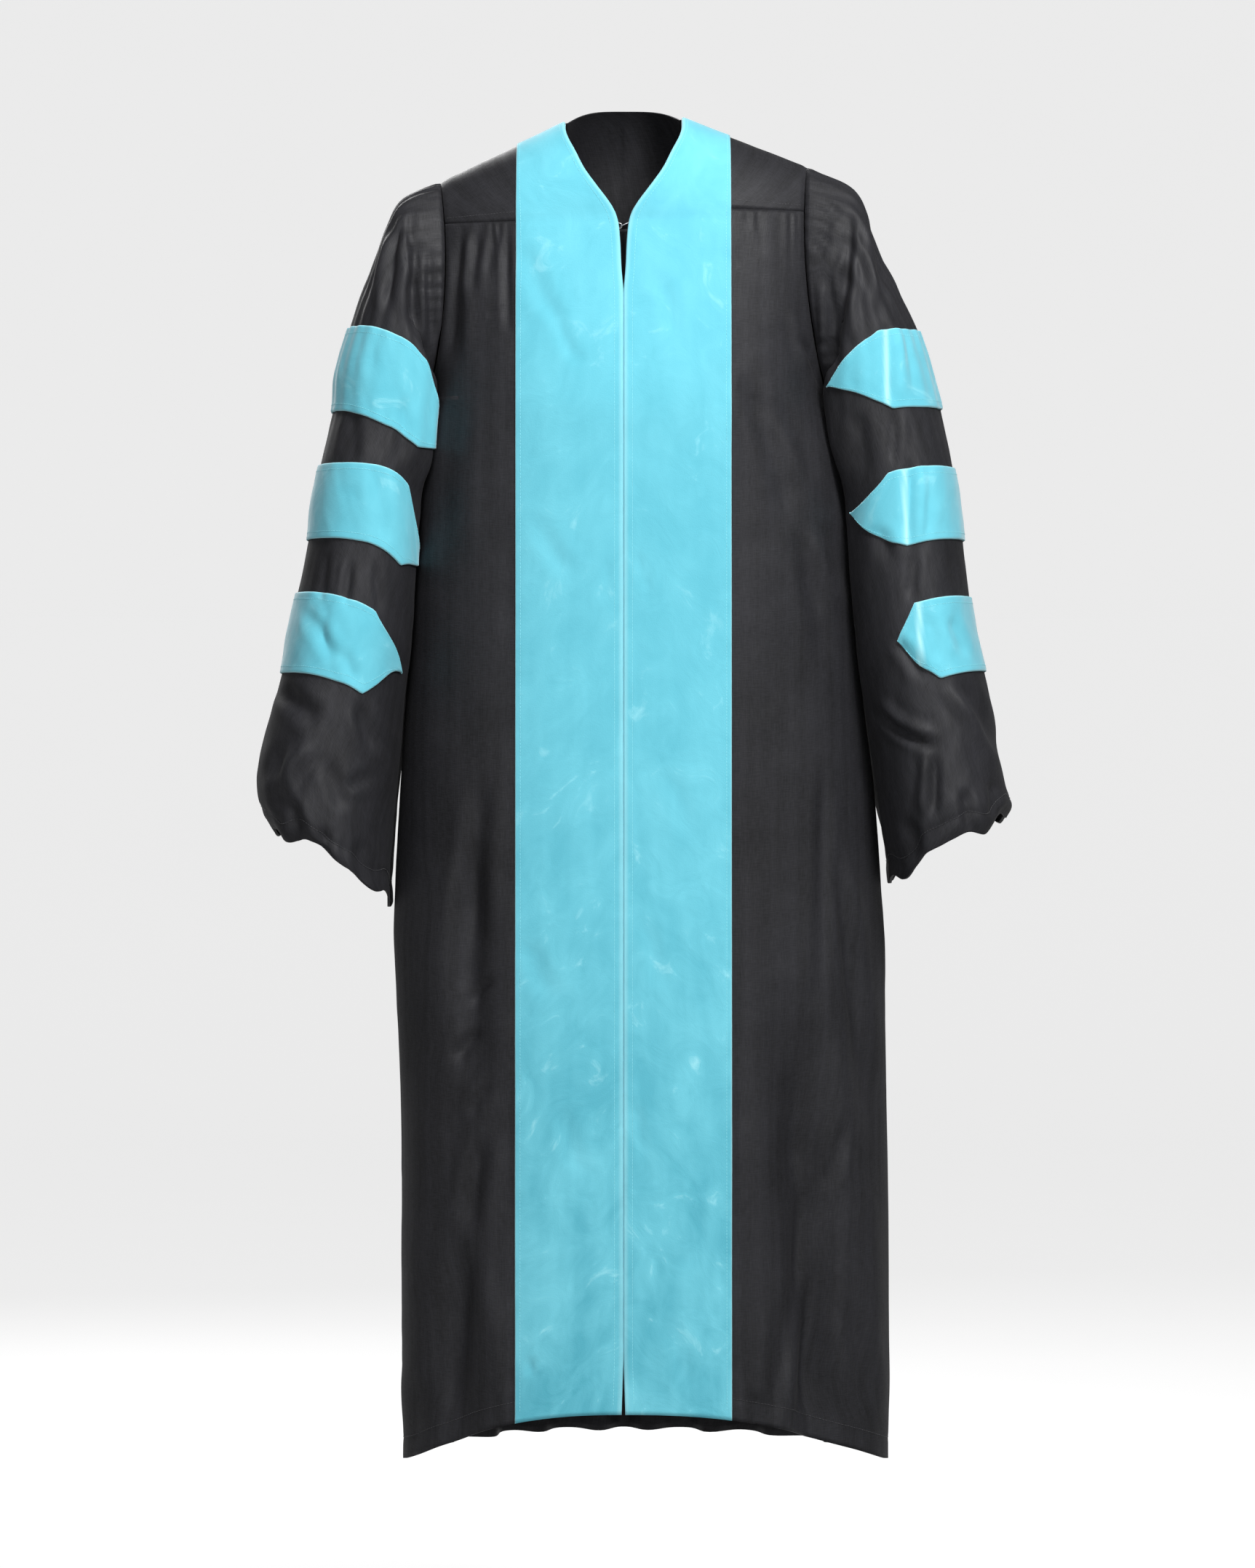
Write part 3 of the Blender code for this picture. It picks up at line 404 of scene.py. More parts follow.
# Grids of the shells
YOKE_CUTS = 30
ARM_CUTS = 62
FRONT_LEVELS = 210
BACK_LEVELS = 170
FRONT_INNER_CUTS, FRONT_OUTER_CUTS = 14, 58
BACK_INNER_CUTS, BACK_OUTER_CUTS = 24, 70
SLEEVE_COLUMNS = 176
SLEEVE_CUTS = 9  # rows between two rings of the solid

# Camera, level in front of the gown
EYE_X, EYE_Z, EYE_AWAY = 0.0041, -0.638, 7.0
FRAME_HIGH = 1.6256
SENSOR = 36.0
FLOOR_Z = -1.56
DOME, DOME_RISE, DOME_CURVE = 13.0, 4.0, 2.0  # paper dome: radius, centre over the floor, curve


def linear(code):
    """Linear colour of an sRGB hex value."""
    parts = [int(code[i : i + 2], 16) / 255 for i in (1, 3, 5)]
    return tuple(c / 12.92 if c <= 0.04045 else ((c + 0.055) / 1.055) ** 2.4 for c in parts)


class GownSizes(bpy.types.PropertyGroup):
    """Sizes of the cloth and its sewing."""

    cloth: bpy.props.FloatProperty(
        name="Cloth", description="Thickness of the black cloth", default=0.0012, unit="LENGTH", precision=4
    )
    pile: bpy.props.FloatProperty(
        name="Velvet", description="Height of the velvet with its pile", default=0.0020, unit="LENGTH", precision=4
    )
    hem: bpy.props.FloatProperty(
        name="Hem", description="Depth of the turned hem", default=0.022, unit="LENGTH", precision=3
    )
    fullness: bpy.props.FloatProperty(
        name="Gathers", description="Depth of the small gathers at the seams", default=0.0014, unit="LENGTH", precision=4
    )
    folds: bpy.props.FloatProperty(
        name="Folds", description="Strength of the hand-placed creases", default=1.0, min=0.0, max=1.5
    )
    stitch: bpy.props.FloatProperty(
        name="Stitch", description="Length of a stitch with its gap", default=0.0034, unit="LENGTH", precision=4
    )
    thread: bpy.props.FloatProperty(
        name="Thread", description="Thickness of the sewing thread", default=0.00045, unit="LENGTH", precision=5
    )


class GownColours(bpy.types.PropertyGroup):
    """Colours of the gown."""

    black: bpy.props.FloatVectorProperty(
        name="Cloth", description="Black cloth in the light", subtype="COLOR", default=linear("#2f2f33")
    )
    black_deep: bpy.props.FloatVectorProperty(
        name="Cloth, deep", description="Black cloth between its threads", subtype="COLOR", default=linear("#19191b")
    )
    velvet: bpy.props.FloatVectorProperty(
        name="Velvet", description="Velvet pile", subtype="COLOR", default=linear("#77cfe0")
    )
    velvet_deep: bpy.props.FloatVectorProperty(
        name="Velvet, brushed", description="Pile brushed away from the eye", subtype="COLOR", default=linear("#58b1c4")
    )
    # Pale pile: the worn patches, and the painted highlight along turned edges
    velvet_pale_wear_and_highlight: bpy.props.FloatVectorProperty(
        name="Velvet, edge", description="Pile that opens over a turned edge", subtype="COLOR", default=linear("#c4f8fc")
    )
    steel: bpy.props.FloatVectorProperty(
        name="Steel", description="Nickel-plated hook, eye and slider", subtype="COLOR", default=linear("#b9babd")
    )


def sizes():
    return bpy.context.scene.gown_sizes


def colours():
    return bpy.context.scene.gown_colours


# Form of the gown, as its solids have it


def smooth(table, column, at):
    """A column of a table at given first-column values, as a curve that doesn't overshoot."""
    order = np.argsort(table[:, 0])
    x, y = table[order, 0], table[order, column]
    slope = np.diff(y) / np.diff(x)
    tangent = np.concatenate(([slope[0]], (slope[1:] + slope[:-1]) / 2, [slope[-1]]))
    tangent[1:-1][slope[1:] * slope[:-1] <= 0] = 0
    steep = 3 * np.minimum(np.abs(slope[1:]), np.abs(slope[:-1]))
    tangent[1:-1] = np.clip(tangent[1:-1], -steep, steep)
    at = np.clip(at, x[0], x[-1])
    i = np.clip(np.searchsorted(x, at) - 1, 0, len(x) - 2)
    step = x[i + 1] - x[i]
    t = (at - x[i]) / step
    return (
        y[i] * (1 + 2 * t) * (1 - t) ** 2
        + tangent[i] * step * t * (1 - t) ** 2
        + y[i + 1] * t * t * (3 - 2 * t)
        - tangent[i + 1] * step * t * t * (1 - t)
    )


def ease(t):
    """0 to 1 with a soft start and end."""
    t = np.clip(t, 0, 1)
    return t * t * (3 - 2 * t)


def crest(side, x):
    """Height of the shoulder line at a distance x from the centre."""
    return CREST_Z - SIDES[side]["slope"] * (np.hypot(x, CREST_ROUND) - CREST_ROUND)


def neck_rim(side, x):
    """Height and depth of the back neck's edge."""
    t = np.clip(np.abs(x) / NECK_X, 0, 1)
    low = crest(side, NECK_X)
    return low + (NECK_BACK_Z - low) * (1 - t**3.5), NECK_BACK_Y * np.sqrt(1 - t**2.5)


def over_shoulder(drop):
    """Share of the full depth that the section has at a drop below the crest."""
    return np.sqrt(1 - (1 - np.clip(drop / SHOULDER_DROP, 0, 1)) ** 2)


def armhole(side, degrees, behind=False):
    """Point of the armhole seam, 0 at the shoulder and 180 at the underarm."""
    a = math.radians(degrees)
    top = float(crest(side, TIP_X))
    x = TIP_X + (SIDES[side]["underarm"] - TIP_X) * (1 - math.cos(a)) / 2 - SCOOP * math.sin(a) ** 2
    y = (ARM_BACK if behind else -ARM_FRONT) * math.sin(a)
    z = (top + UNDERARM_Z) / 2 + (top - UNDERARM_Z) / 2 * math.cos(a)
    return x, y if degrees % 180 else 0.0, z


def half_width(side, z, behind=False):
    """Half width of the full section whose curve passes through the armhole at height z."""
    if z <= UNDERARM_Z:
        return float(smooth(BODY, SIDES[side]["half"], z))
    top = float(crest(side, TIP_X))
    cosine = (2 * z - top - UNDERARM_Z) / (top - UNDERARM_Z)
    x, y, z = armhole(side, math.degrees(math.acos(np.clip(cosine, -1, math.cos(math.radians(18))))), behind)
    depth = float(smooth(BODY, 4 if behind else 3, z)) * float(over_shoulder(crest(side, x) - z))
    return x / (1 - abs(y / depth) ** SQUARE) ** (1 / SQUARE)


def section(x, half, depth):
    """Depth of the body's section at a distance x from the centre."""
    return depth * np.maximum(1 - (np.abs(x) / half) ** SQUARE, 0) ** (1 / SQUARE)


def hem(side, x, half, behind):
    t = np.clip(np.abs(x) / half, 0, 1)
    centre = HEM_BACK if behind else HEM_FRONT
    return centre + (HEM_SIDE - centre) * t**HEM_CURVE


def row_heights(levels):
    """Each row as ("arm", degrees) or ("level", z), from the shoulder to the hem."""
    upper = np.linspace(0, YOKE_AT, YOKE_CUTS + 1)
    lower = np.linspace(YOKE_AT, 180, ARM_CUTS + 1)[1:]
    down = np.linspace(UNDERARM_Z, HEM_SIDE, levels + 1)[1:]
    return [("arm", float(d)) for d in (*upper, *lower)] + [("level", float(z)) for z in down]


def columns(inner, half, outer, inner_cuts, outer_cuts):
    """Even steps from the first of inner to its last, then even turns of the section to outer."""
    turn = [math.asin(min((x / half) ** (SQUARE / 2), 1)) for x in (inner[1], outer)]
    turned = half * np.sin(np.linspace(turn[0], turn[1], outer_cuts + 1)) ** (2 / SQUARE)
    turned[0], turned[-1] = inner[1], outer
    return np.concatenate((np.linspace(inner[0], inner[1], inner_cuts + 1)[:-1], turned))


def row_place(side, kind, value, behind):
    """Outer end, section half width and height function of one row on one side."""
    if kind == "level":
        half = half_width(side, value)
        share = ((value - UNDERARM_Z) / (HEM_SIDE - UNDERARM_Z)) ** 3
        return half, half, lambda x: value + share * (hem(side, x, half, behind) - HEM_SIDE)
    outer, _, z = armhole(side, value, behind)
    half = half_width(side, z, behind)
    if value >= YOKE_AT:
        return outer, half, lambda x: z + 0 * x
    seam = armhole(side, YOKE_AT)[2]
    top = float(crest(side, outer))
    share = (top - z) / (top - seam)

    def height(x):
        start = crest(side, x)
        if behind:
            start = np.where(x < NECK_X, neck_rim(side, x)[0], start)
        return start - (start - seam) * share

    return outer, half, height


def front_half(side):
    """Outer skin of one half of the front, row by row from its opening to the side."""
    rows = []
    for kind, value in row_heights(FRONT_LEVELS):
        outer, half, height = row_place(side, kind, value, False)
        edge = NECK_X
        for _ in range(12):
            edge = float(smooth(OPENING, 1, height(np.array(edge))))
        x = columns((edge, PANEL_X), half, outer, FRONT_INNER_CUTS, FRONT_OUTER_CUTS)
        z = height(x)
        y = -section(x, half, smooth(BODY, 3, z)) * over_shoulder(crest(side, x) - z)
        if kind == "arm":
            y[-1] = armhole(side, value)[1]
        rows.append(np.stack((SIDES[side]["sign"] * x, y, z), axis=1))
    return np.array(rows)


def back_half(side):
    """Outer skin of one half of the back, row by row from the centre to the side."""
    rows = []
    for kind, value in row_heights(BACK_LEVELS):
        outer, half, height = row_place(side, kind, value, True)
        level = value if kind == "level" else armhole(side, value)[2]
        middle = NECK_X + BACK_SPREAD * min(max((BACK_SPREAD_FROM - level) / 0.4, 0), 1)
        x = columns((0.0, middle), half, outer, BACK_INNER_CUTS, BACK_OUTER_CUTS)
        z = height(x)
        rim_z, rim_y = neck_rim(side, x)
        lift = SHOULDER_DROP * (1 - np.sqrt(1 - (rim_y / NECK_BACK_DEPTH) ** 2))
        start = np.where(x < NECK_X, rim_z + lift, crest(side, x))
        y = section(x, half, smooth(BODY, 4, z)) * over_shoulder(start - z)
        if kind == "arm":
            y[-1] = armhole(side, value, True)[1]
        if (kind, value) == ("arm", 0):
            y[x >= NECK_X] = 0
        rows.append(np.stack((SIDES[side]["sign"] * x, y, z), axis=1))
    return np.array(rows)


def back_form():
    """Outer skin of the whole back, from the wearer's right side to the left."""
    right, left = back_half("right"), back_half("left")
    centre = (right[:, :1] + left[:, :1]) / 2
    drift = (right[:, :1, 2] - left[:, :1, 2]) / 2
    fade = np.linspace(1, 0, right.shape[1]) ** 2
    right[..., 2] -= drift * fade
    left[..., 2] += drift * fade
    return np.concatenate((right[:, :0:-1], centre, left[:, 1:]), axis=1)


def body_side(side, y, z):
    """Distance from the centre to the body's surface at depth y and height z."""
    behind = y > 0
    half = half_width(side, z, behind)
    depth = float(smooth(BODY, 4 if behind else 3, z))
    return half * max(1 - (abs(y) / depth) ** SQUARE, 0) ** (1 / SQUARE)


def sleeve_form(side):
    """Outer skin of a sleeve, ring by ring from the armhole to the cuff."""
    turns = np.arange(SLEEVE_COLUMNS) * 360 / SLEEVE_COLUMNS
    rings = [[armhole(side, a if a <= 180 else 360 - a, a > 180) for a in turns]]
    for outer_x, outer_z, inner_x, inner_z, depth, droop in SLEEVE_RINGS[side]:
        ring = []
        for c, turn in enumerate(turns):
            a = math.radians(turn)
            across, deep = math.cos(a), math.sin(a)
            across = math.copysign(abs(across) ** (2 / SLEEVE_SQUARE), across)
            deep = math.copysign(abs(deep) ** (2 / SLEEVE_SQUARE), deep)
            x = (outer_x + inner_x) / 2 + (outer_x - inner_x) / 2 * across
            y = -deep * (depth + (SLEEVE_BACK_EXTRA if deep < 0 else 0))
            z = outer_z - (outer_z - inner_z) * ((1 - math.cos(a)) / 2) ** droop
            least = body_side(side, y, min(z, -0.1)) + BODY_CLEARANCE
            x = (x + least + math.hypot(x - least, CLEARANCE_ROUND)) / 2
            ring.append((x, y if c % (SLEEVE_COLUMNS // 2) else 0.0, z))
        rings.append(ring)
    rings = np.array(rings)
    rings[..., 0] *= SIDES[side]["sign"]
    return between_rings(rings, SLEEVE_CUTS)


def between_rings(rings, cuts):
    """Rows on a smooth curve through the same point of each ring."""
    padded = np.concatenate((2 * rings[:1] - rings[1:2], rings, 2 * rings[-1:] - rings[-2:-1]))
    rows = []
    for i in range(len(rings) - 1):
        a, b, c, d = padded[i : i + 4]
        for t in np.arange(cuts) / cuts:
            near = -0.5 * t + t * t - 0.5 * t**3
            here = 1 - 2.5 * t * t + 1.5 * t**3
            there = 0.5 * t + 2 * t * t - 1.5 * t**3
            rows.append(near * a + here * b + there * c + (0.5 * t**3 - 0.5 * t * t) * d)
    return np.array([*rows, rings[-1]])


# Folds


def unit(vectors):
    return vectors / np.maximum(np.linalg.norm(vectors, axis=-1, keepdims=True), 1e-12)


def normals_of(skin, closed=False, flip=1):
    """Unit normals of a grid of points; a ring's first and last columns are neighbours."""
    if closed:
        around = (np.roll(skin, -1, axis=1) - np.roll(skin, 1, axis=1)) / 2
    else:
        around = np.gradient(skin, axis=1)
    down = np.gradient(skin, axis=0)
    flat = np.linalg.norm(around, axis=-1) < 1e-7
    around[flat] = (1, 0, 0)
    return unit(np.cross(down, around)) * flip


def press(x, z, creases):
    """Depth pressed in at x and z by creases drawn on the same plane."""
    depth = np.zeros(x.shape)
    for x0, z0, x1, z1, bow, wide0, wide1, deep in creases:
        reach = 3.2 * max(wide0, wide1) + abs(bow)
        near = (x > min(x0, x1) - reach) & (x < max(x0, x1) + reach)
        near &= (z > min(z0, z1) - reach) & (z < max(z0, z1) + reach)
        if not near.any():
            continue
        long = math.hypot(x1 - x0, z1 - z0)
        aside = np.array((z0 - z1, x1 - x0)) / long * bow
        t = np.linspace(0, 1, 13)
        line = np.array((x0, z0)) + t[:, None] * np.array((x1 - x0, z1 - z0))
        line = line + (4 * t * (1 - t))[:, None] * aside
        points = np.stack((x[near], z[near]), axis=-1)
        start, span = line[:-1], np.diff(line, axis=0)
        along = ((points[:, None] - start) * span).sum(-1) / (span**2).sum(-1)
        held = np.clip(along, 0, 1)
        gap = np.linalg.norm(points[:, None] - start - held[..., None] * span, axis=-1)
        best = gap.argmin(1)
        pick = np.arange(len(points))
        at = (best + held[pick, best]) / 12
        away = gap[pick, best] / (wide0 + (wide1 - wide0) * at)
        shape = np.exp(-(away**2)) - 0.32 * np.exp(-((away - 1.9) ** 2) / 0.6)
        depth[near] += deep * shape * ease(at / 0.3) * ease((1 - at) / 0.3)
    return depth


def soft_bends(u, v, size, seed):
    """Slow uneven bends between -1 and 1 on a surface; size is the length of a bend."""
    total = np.zeros(np.broadcast(u, v).shape)
    for k in range(7):
        turn = 0.9 * k + seed
        pitch = 2 * math.pi / size * (0.7 + 0.23 * k)
        total += np.sin(pitch * (u * math.cos(turn) + v * math.sin(turn)) + 2.1 * k * seed + 1.3 * k) / (1 + 0.35 * k)
    return total / 3.4


def along(skin):
    """Distance across and down a grid, along its surface."""
    across = np.linalg.norm(np.diff(skin, axis=1), axis=-1)
    down = np.linalg.norm(np.diff(skin, axis=0), axis=-1)
    u = np.concatenate((np.zeros((len(skin), 1)), across.cumsum(1)), axis=1)
    v = np.concatenate((np.zeros((1, skin.shape[1])), down.cumsum(0)))
    return u, v


def seam_dip(distance, deep=0.0010, wide=0.0035):
    """How far cloth sinks beside a seam."""
    return deep * np.exp(-((distance / wide) ** 2))


@functools.lru_cache
def front_surface(side):
    """Skin and normals of one half of the front, folded."""
    form = front_half(side)
    flip = SIDES[side]["sign"]
    normals = normals_of(form, flip=flip)
    x, z = np.abs(form[..., 0]), form[..., 2]
    u, v = along(form)
    to_side = u[:, -1:] - u
    at_side = ease(to_side / 0.020)
    yoke = np.arange(len(form))[:, None] - YOKE_CUTS
    below = ease(yoke / 14)
    push = np.zeros_like(x)
    for x0, z0, x1, z1, wide, deep in FRONT_FOLDS[side]:
        t = (z - z0) / (z1 - z0)
        fade = np.clip(t / 0.35, 0, 1) * np.clip((1.25 - t) / 0.25, 0, 1)
        across = (x - x0 - (x1 - x0) * t) / wide
        push += deep * fade * (np.exp(-(across**2)) - 0.3 * np.exp(-((np.abs(across) - 2.0) ** 2)))
    push += press(x, z, FRONT_CREASES[side]) * sizes().folds * ease((yoke + 4) / 8)
    push += 0.0018 * soft_bends(x, z, 0.28, 1.0 + flip) * below
    push += 0.0005 * soft_bends(x, z, 0.06, 2.0 + flip) * below
    cover = ease((x - PANEL_X + 0.006) / 0.016)
    push *= 0.25 + 0.75 * cover
    push += press(x, z, VELVET_CREASES[side]) * sizes().folds
    small = np.sin(2 * math.pi * x / 0.0125 + 2.6 * np.sin(x * 61 + flip) + 1.2 * np.sin(x * 143))
    small *= 0.35 + 0.65 * np.sin(x * 47 + 2 * flip) ** 2
    seam = v - v[YOKE_CUTS]
    long = 0.030 + 0.022 * np.sin(x * 83 + flip)
    gather = np.where(seam > 0, np.exp(-((seam / long) ** 2)), 0) * ease(seam / 0.006)
    push += 0.7 * sizes().fullness * small * gather * cover
    push *= at_side
    on_yoke = np.arange(len(form))[:, None] < YOKE_CUTS
    push = np.where(on_yoke, 0.0006 * soft_bends(x, z, 0.09, 4.0) * at_side, push)
    push += seam_dip(to_side) + seam_dip(np.abs(seam), 0.0006) * cover
    skin = form - push[..., None] * normals
    return skin, normals_of(skin, flip=flip)


@functools.lru_cache
def back_surface():
    """Skin and normals of the whole back, gathered into flutes below its yoke."""
    form = back_form()
    normals = normals_of(form, flip=-1)
    x, z = form[..., 0], form[..., 2]
    u, v = along(form)
    whole = u[:, -1:]
    to_side = np.minimum(u, whole - u)
    inner = np.linspace(0, 6, BACK_INNER_CUTS + 1)
    outer = np.linspace(6, BACK_HALF, BACK_OUTER_CUTS + 1)[1:]
    half = np.concatenate((inner, outer))
    c = np.concatenate((BACK_HALF - half[:0:-1], BACK_HALF + half))
    drift = 0.22 * np.sin(2 * math.pi * z / 1.1 + c * 0.9)
    turn = 2 * math.pi * (c - BACK_HALF + drift) / FLUTE_QUADS
    wave = np.cos(turn) - 0.16 * np.cos(2 * turn) + 0.10
    each = np.interp(c, np.linspace(0, 2 * BACK_HALF, len(FLUTE_SHARE)), FLUTE_SHARE)
    edge = np.clip(np.minimum(c, 2 * BACK_HALF - c) / (1.5 * FLUTE_QUADS), 0, 1)
    rows = row_heights(BACK_LEVELS)
    arm = np.array([1.0 if kind == "level" and value < -0.28 else 0.8 for kind, value in rows])[:, None]
    start = ease((np.arange(len(form))[:, None] - YOKE_CUTS) / 10)
    lift = smooth(FLUTE_DEPTH, 1, z) * wave * edge * each * arm * start
    push = press(x, z, BACK_CREASES) * sizes().folds * start
    push += (0.0016 * soft_bends(x, z, 0.26, 3.0) + 0.0005 * soft_bends(x, z, 0.055, 5.0)) * start
    seam = v - v[YOKE_CUTS]
    small = np.sin(2 * math.pi * x / 0.0115 + 2.4 * np.sin(x * 45) + 1.1 * np.sin(x * 131))
    small *= 0.5 + 0.5 * np.sin(x * 37 + 1) ** 2
    long = 0.045 + 0.025 * np.sin(x * 71)
    gather = np.where(seam > 0, np.exp(-((seam / long) ** 2)), 0) * ease(seam / 0.006)
    push += 1.2 * sizes().fullness * small * gather
    on_yoke = np.arange(len(form))[:, None] < YOKE_CUTS
    push = np.where(on_yoke, 0.0006 * soft_bends(x, z, 0.10, 6.0), push - lift)
    push *= ease(to_side / 0.018)
    push += seam_dip(to_side) + seam_dip(np.abs(seam))
    skin = form - push[..., None] * normals
    return skin, normals_of(skin, flip=-1)


@functools.lru_cache
def sleeve_surface(side):
    """Skin and normals of a sleeve, eased into its armhole and creased down the arm."""
    form = sleeve_form(side)
    flip = -SIDES[side]["sign"]
    normals = normals_of(form, closed=True, flip=flip)
    x, z = np.abs(form[..., 0]), form[..., 2]
    c = np.arange(SLEEVE_COLUMNS) * SLEEVE_QUADS / SLEEVE_COLUMNS
    turn = 2 * math.pi * c / SLEEVE_QUADS
    ring = np.arange(len(form)) / SLEEVE_CUTS
    share = 0.62 + 0.25 * np.cos(2 * turn) + 0.13 * np.cos(5 * turn)
    inner = np.clip((np.cos(turn) + 1.0) / 0.6, 0, 1)
    depth = np.interp(ring, np.arange(len(GATHERS) + 1), (*GATHERS, 0.0))
    lift = depth[:, None] * (0.325 - 0.675 * np.cos(math.pi * c)) * share * inner
    _, v = along(form)
    fine = np.sin(2.2 * math.pi * c + 2.3 * np.sin(turn * 3 + flip) + 1.1 * np.sin(turn * 7))
    fine *= 0.15 + 0.85 * np.sin(turn * 2.5 + flip) ** 2
    long = 0.024 + 0.012 * np.sin(turn * 9)
    lift += 0.8 * sizes().fullness * fine * np.exp(-((v / long) ** 2)) * ease(v / 0.004) * inner
    front = ease(np.sin(turn) * 4 + 0.5)
    strength = sizes().folds
    push = press(x, z, SLEEVE_FRONT_CREASES[side]) * strength * front
    push += press(x, z, SLEEVE_BACK_CREASES) * strength * ease(-np.sin(turn) * 4)
    body = ease(v / 0.03)
    push += (0.0020 * soft_bends(turn * 0.09, v, 0.22, 7.0 + flip) + 0.0006 * soft_bends(turn * 0.09, v, 0.05, 9.0)) * body
    push += seam_dip(v)
    skin = form - (push - lift)[..., None] * normals
    end = v[-1:] - v
    cuff = np.exp(-((end / 0.030) ** 2))
    ruffle = 0.0045 * np.sin(5 * turn + 0.6 * flip) + 0.0030 * np.sin(9 * turn + 2.0)
    skin[..., 2] += ruffle * cuff
    skin -= (0.0035 * np.exp(-((end - 0.020) ** 2) / 0.00006))[..., None] * normals * 0.35
    return skin, normals_of(skin, closed=True, flip=flip)


def pick(grid, row, column, closed=False):
    """A grid at fractional rows and columns."""
    rows, cols = grid.shape[:2]
    row = np.clip(row, 0, rows - 1)
    if closed:
        column = np.mod(column, cols)
    else:
        column = np.clip(column, 0, cols - 1)
    r = np.minimum(row.astype(int), rows - 2)
    c = column.astype(int) if closed else np.minimum(column.astype(int), cols - 2)
    d = (c + 1) % cols
    t, s = (row - r)[..., None], (column - c)[..., None]
    top = grid[r, c] * (1 - s) + grid[r, d] * s
    low = grid[r + 1, c] * (1 - s) + grid[r + 1, d] * s
    return top * (1 - t) + low * t


# Shells


def shell(name, outer, inner, material, closed=False, edge=None, origin=(0.0, 0.0)):
    """Closed wall between two grids of points, with its cloth laid flat as its UV map."""
    rows, cols = outer.shape[:2]
    count = rows * cols
    ids = np.arange(count).reshape(rows, cols)
    if closed:
        ids = np.concatenate((ids, ids[:, :1]), axis=1)
    skin = np.stack((ids[:-1, :-1], ids[1:, :-1], ids[1:, 1:], ids[:-1, 1:]), axis=-1).reshape(-1, 4)
    points = np.concatenate((outer.reshape(-1, 3), inner.reshape(-1, 3)))
    a, b, c, d = points[skin].transpose(1, 0, 2)
    facing = (np.cross(c - a, d - b) * (points[skin[:, 0]] - points[skin[:, 0] + count])).sum()
    rims = [(ids[0], 1), (ids[-1], -1)]
    if not closed:
        rims += [(ids[:, 0], -1), (ids[:, -1], 1)]
    walls = []
    for line, way in rims:
        wall = np.stack((line[:-1], line[1:], line[1:] + count, line[:-1] + count), axis=1)
        walls.append(wall[:, ::way])
    faces = np.concatenate((skin, skin[:, ::-1] + count, *walls))
    if facing < 0:
        faces = faces[:, ::-1]
    mesh = bpy.data.meshes.new(name)
    mesh.from_pydata(points, [], faces)
    mesh.polygons.foreach_set("use_smooth", np.arange(len(faces)) < 2 * len(skin))
    lay_flat(mesh, outer, closed, origin)
    # An edge map, when given, is the velvet's painted highlight along its turned edges
    if edge is not None:
        near = mesh.attributes.new("edge", "FLOAT", "POINT")
        near.data.foreach_set("value", np.concatenate((edge.ravel(), edge.ravel())).astype(np.float32))
    return place(name, mesh, material)


def lay_flat(mesh, outer, closed, origin):
    """UV map in metres: across and down the cloth, the same on both of its faces."""
    u, v = along(outer)
    flat = np.stack((u + origin[0], v + origin[1]), axis=-1).reshape(-1, 2)
    corner = np.zeros(len(mesh.loops), np.int32)
    mesh.loops.foreach_get("vertex_index", corner)
    place_of = flat[corner % len(flat)].reshape(-1, 4, 2)
    if closed:
        seam = (corner % outer.shape[1] == 0).reshape(-1, 4)
        wraps = (place_of[..., 0].max(1) - place_of[..., 0].min(1)) > 0.05
        place_of[..., 0] = np.where(seam & wraps[:, None], place_of[..., 0].max(1)[:, None], place_of[..., 0])
    layer = mesh.uv_layers.new(name="cloth")
    layer.data.foreach_set("uv", place_of.astype(np.float32).ravel())


def place(name, mesh, material):
    mesh.materials.append(material)
    made = bpy.data.objects.new(name, mesh)
    bpy.context.scene.collection.objects.link(made)
    return made


def keep(piece, slot, *nodes):
    """A finished piece rides on the gown and stands for its solids."""
    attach(piece, "root")
    if nodes:
        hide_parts(*nodes)
    return piece


def turned_hem(v):
    """Extra thickness of a double-turned hem at the bottom of a grid."""
    end = v[-1:] - v
    return ease((sizes().hem - end) / 0.003)


def cut_back(skin, width):
    """A grid whose first column is moved in from its edge by a width."""
    moved = skin.copy()
    step = skin[:, 1] - skin[:, 0]
    moved[:, 0] += step * (width / np.linalg.norm(step, axis=1))[:, None]
    return moved


def cloth_wall(name, skin, normals, material, closed=False, hemmed=False, origin=(0.0, 0.0)):
    """A cloth shell that thickens in its hem, with a faint ditch where the hem is sewn."""
    _, v = along(skin)
    thick = np.full(skin.shape[:2], sizes().cloth)
    outer = skin
    if hemmed:
        thick = thick + 0.0014 * turned_hem(v)
        ditch = 0.0005 * np.exp(-(((v[-1:] - v - sizes().hem) / 0.002) ** 2))
        outer = skin - ditch[..., None] * normals
    return shell(name, outer, skin - thick[..., None] * normals, material, closed, origin=origin)


# Materials


def node(tree, kind, inputs=None, **settings):
    """A node with its settings; an input is a value or another node's socket."""
    made = tree.nodes.new(kind)
    for name, value in settings.items():
        setattr(made, name, value)
    for name, value in (inputs or {}).items():
        if isinstance(value, bpy.types.NodeSocket):
            tree.links.new(value, made.inputs[name])
        else:
            made.inputs[name].default_value = value
    return made


def start_material(name, **values):
    """A new material with its shader's plain values set."""
    made = bpy.data.materials.new(name)
    made.use_nodes = True
    shader = made.node_tree.nodes["Principled BSDF"]
    for key, value in values.items():
        shader.inputs[key.replace("_", " ")].default_value = value
    return made, made.node_tree, shader


def threads(tree, place, across, length, wide):
    """Uneven threads that run one way: noise drawn out along them."""
    stretch = (1 / length, 1 / wide, 1) if across else (1 / wide, 1 / length, 1)
    laid = node(tree, "ShaderNodeMapping", {"Vector": place, "Scale": stretch})
    return node(
        tree, "ShaderNodeTexNoise", {"Vector": laid.outputs["Vector"], "Scale": 1.0, "Detail": 2.0, "Roughness": 0.6}
    ).outputs["Fac"]


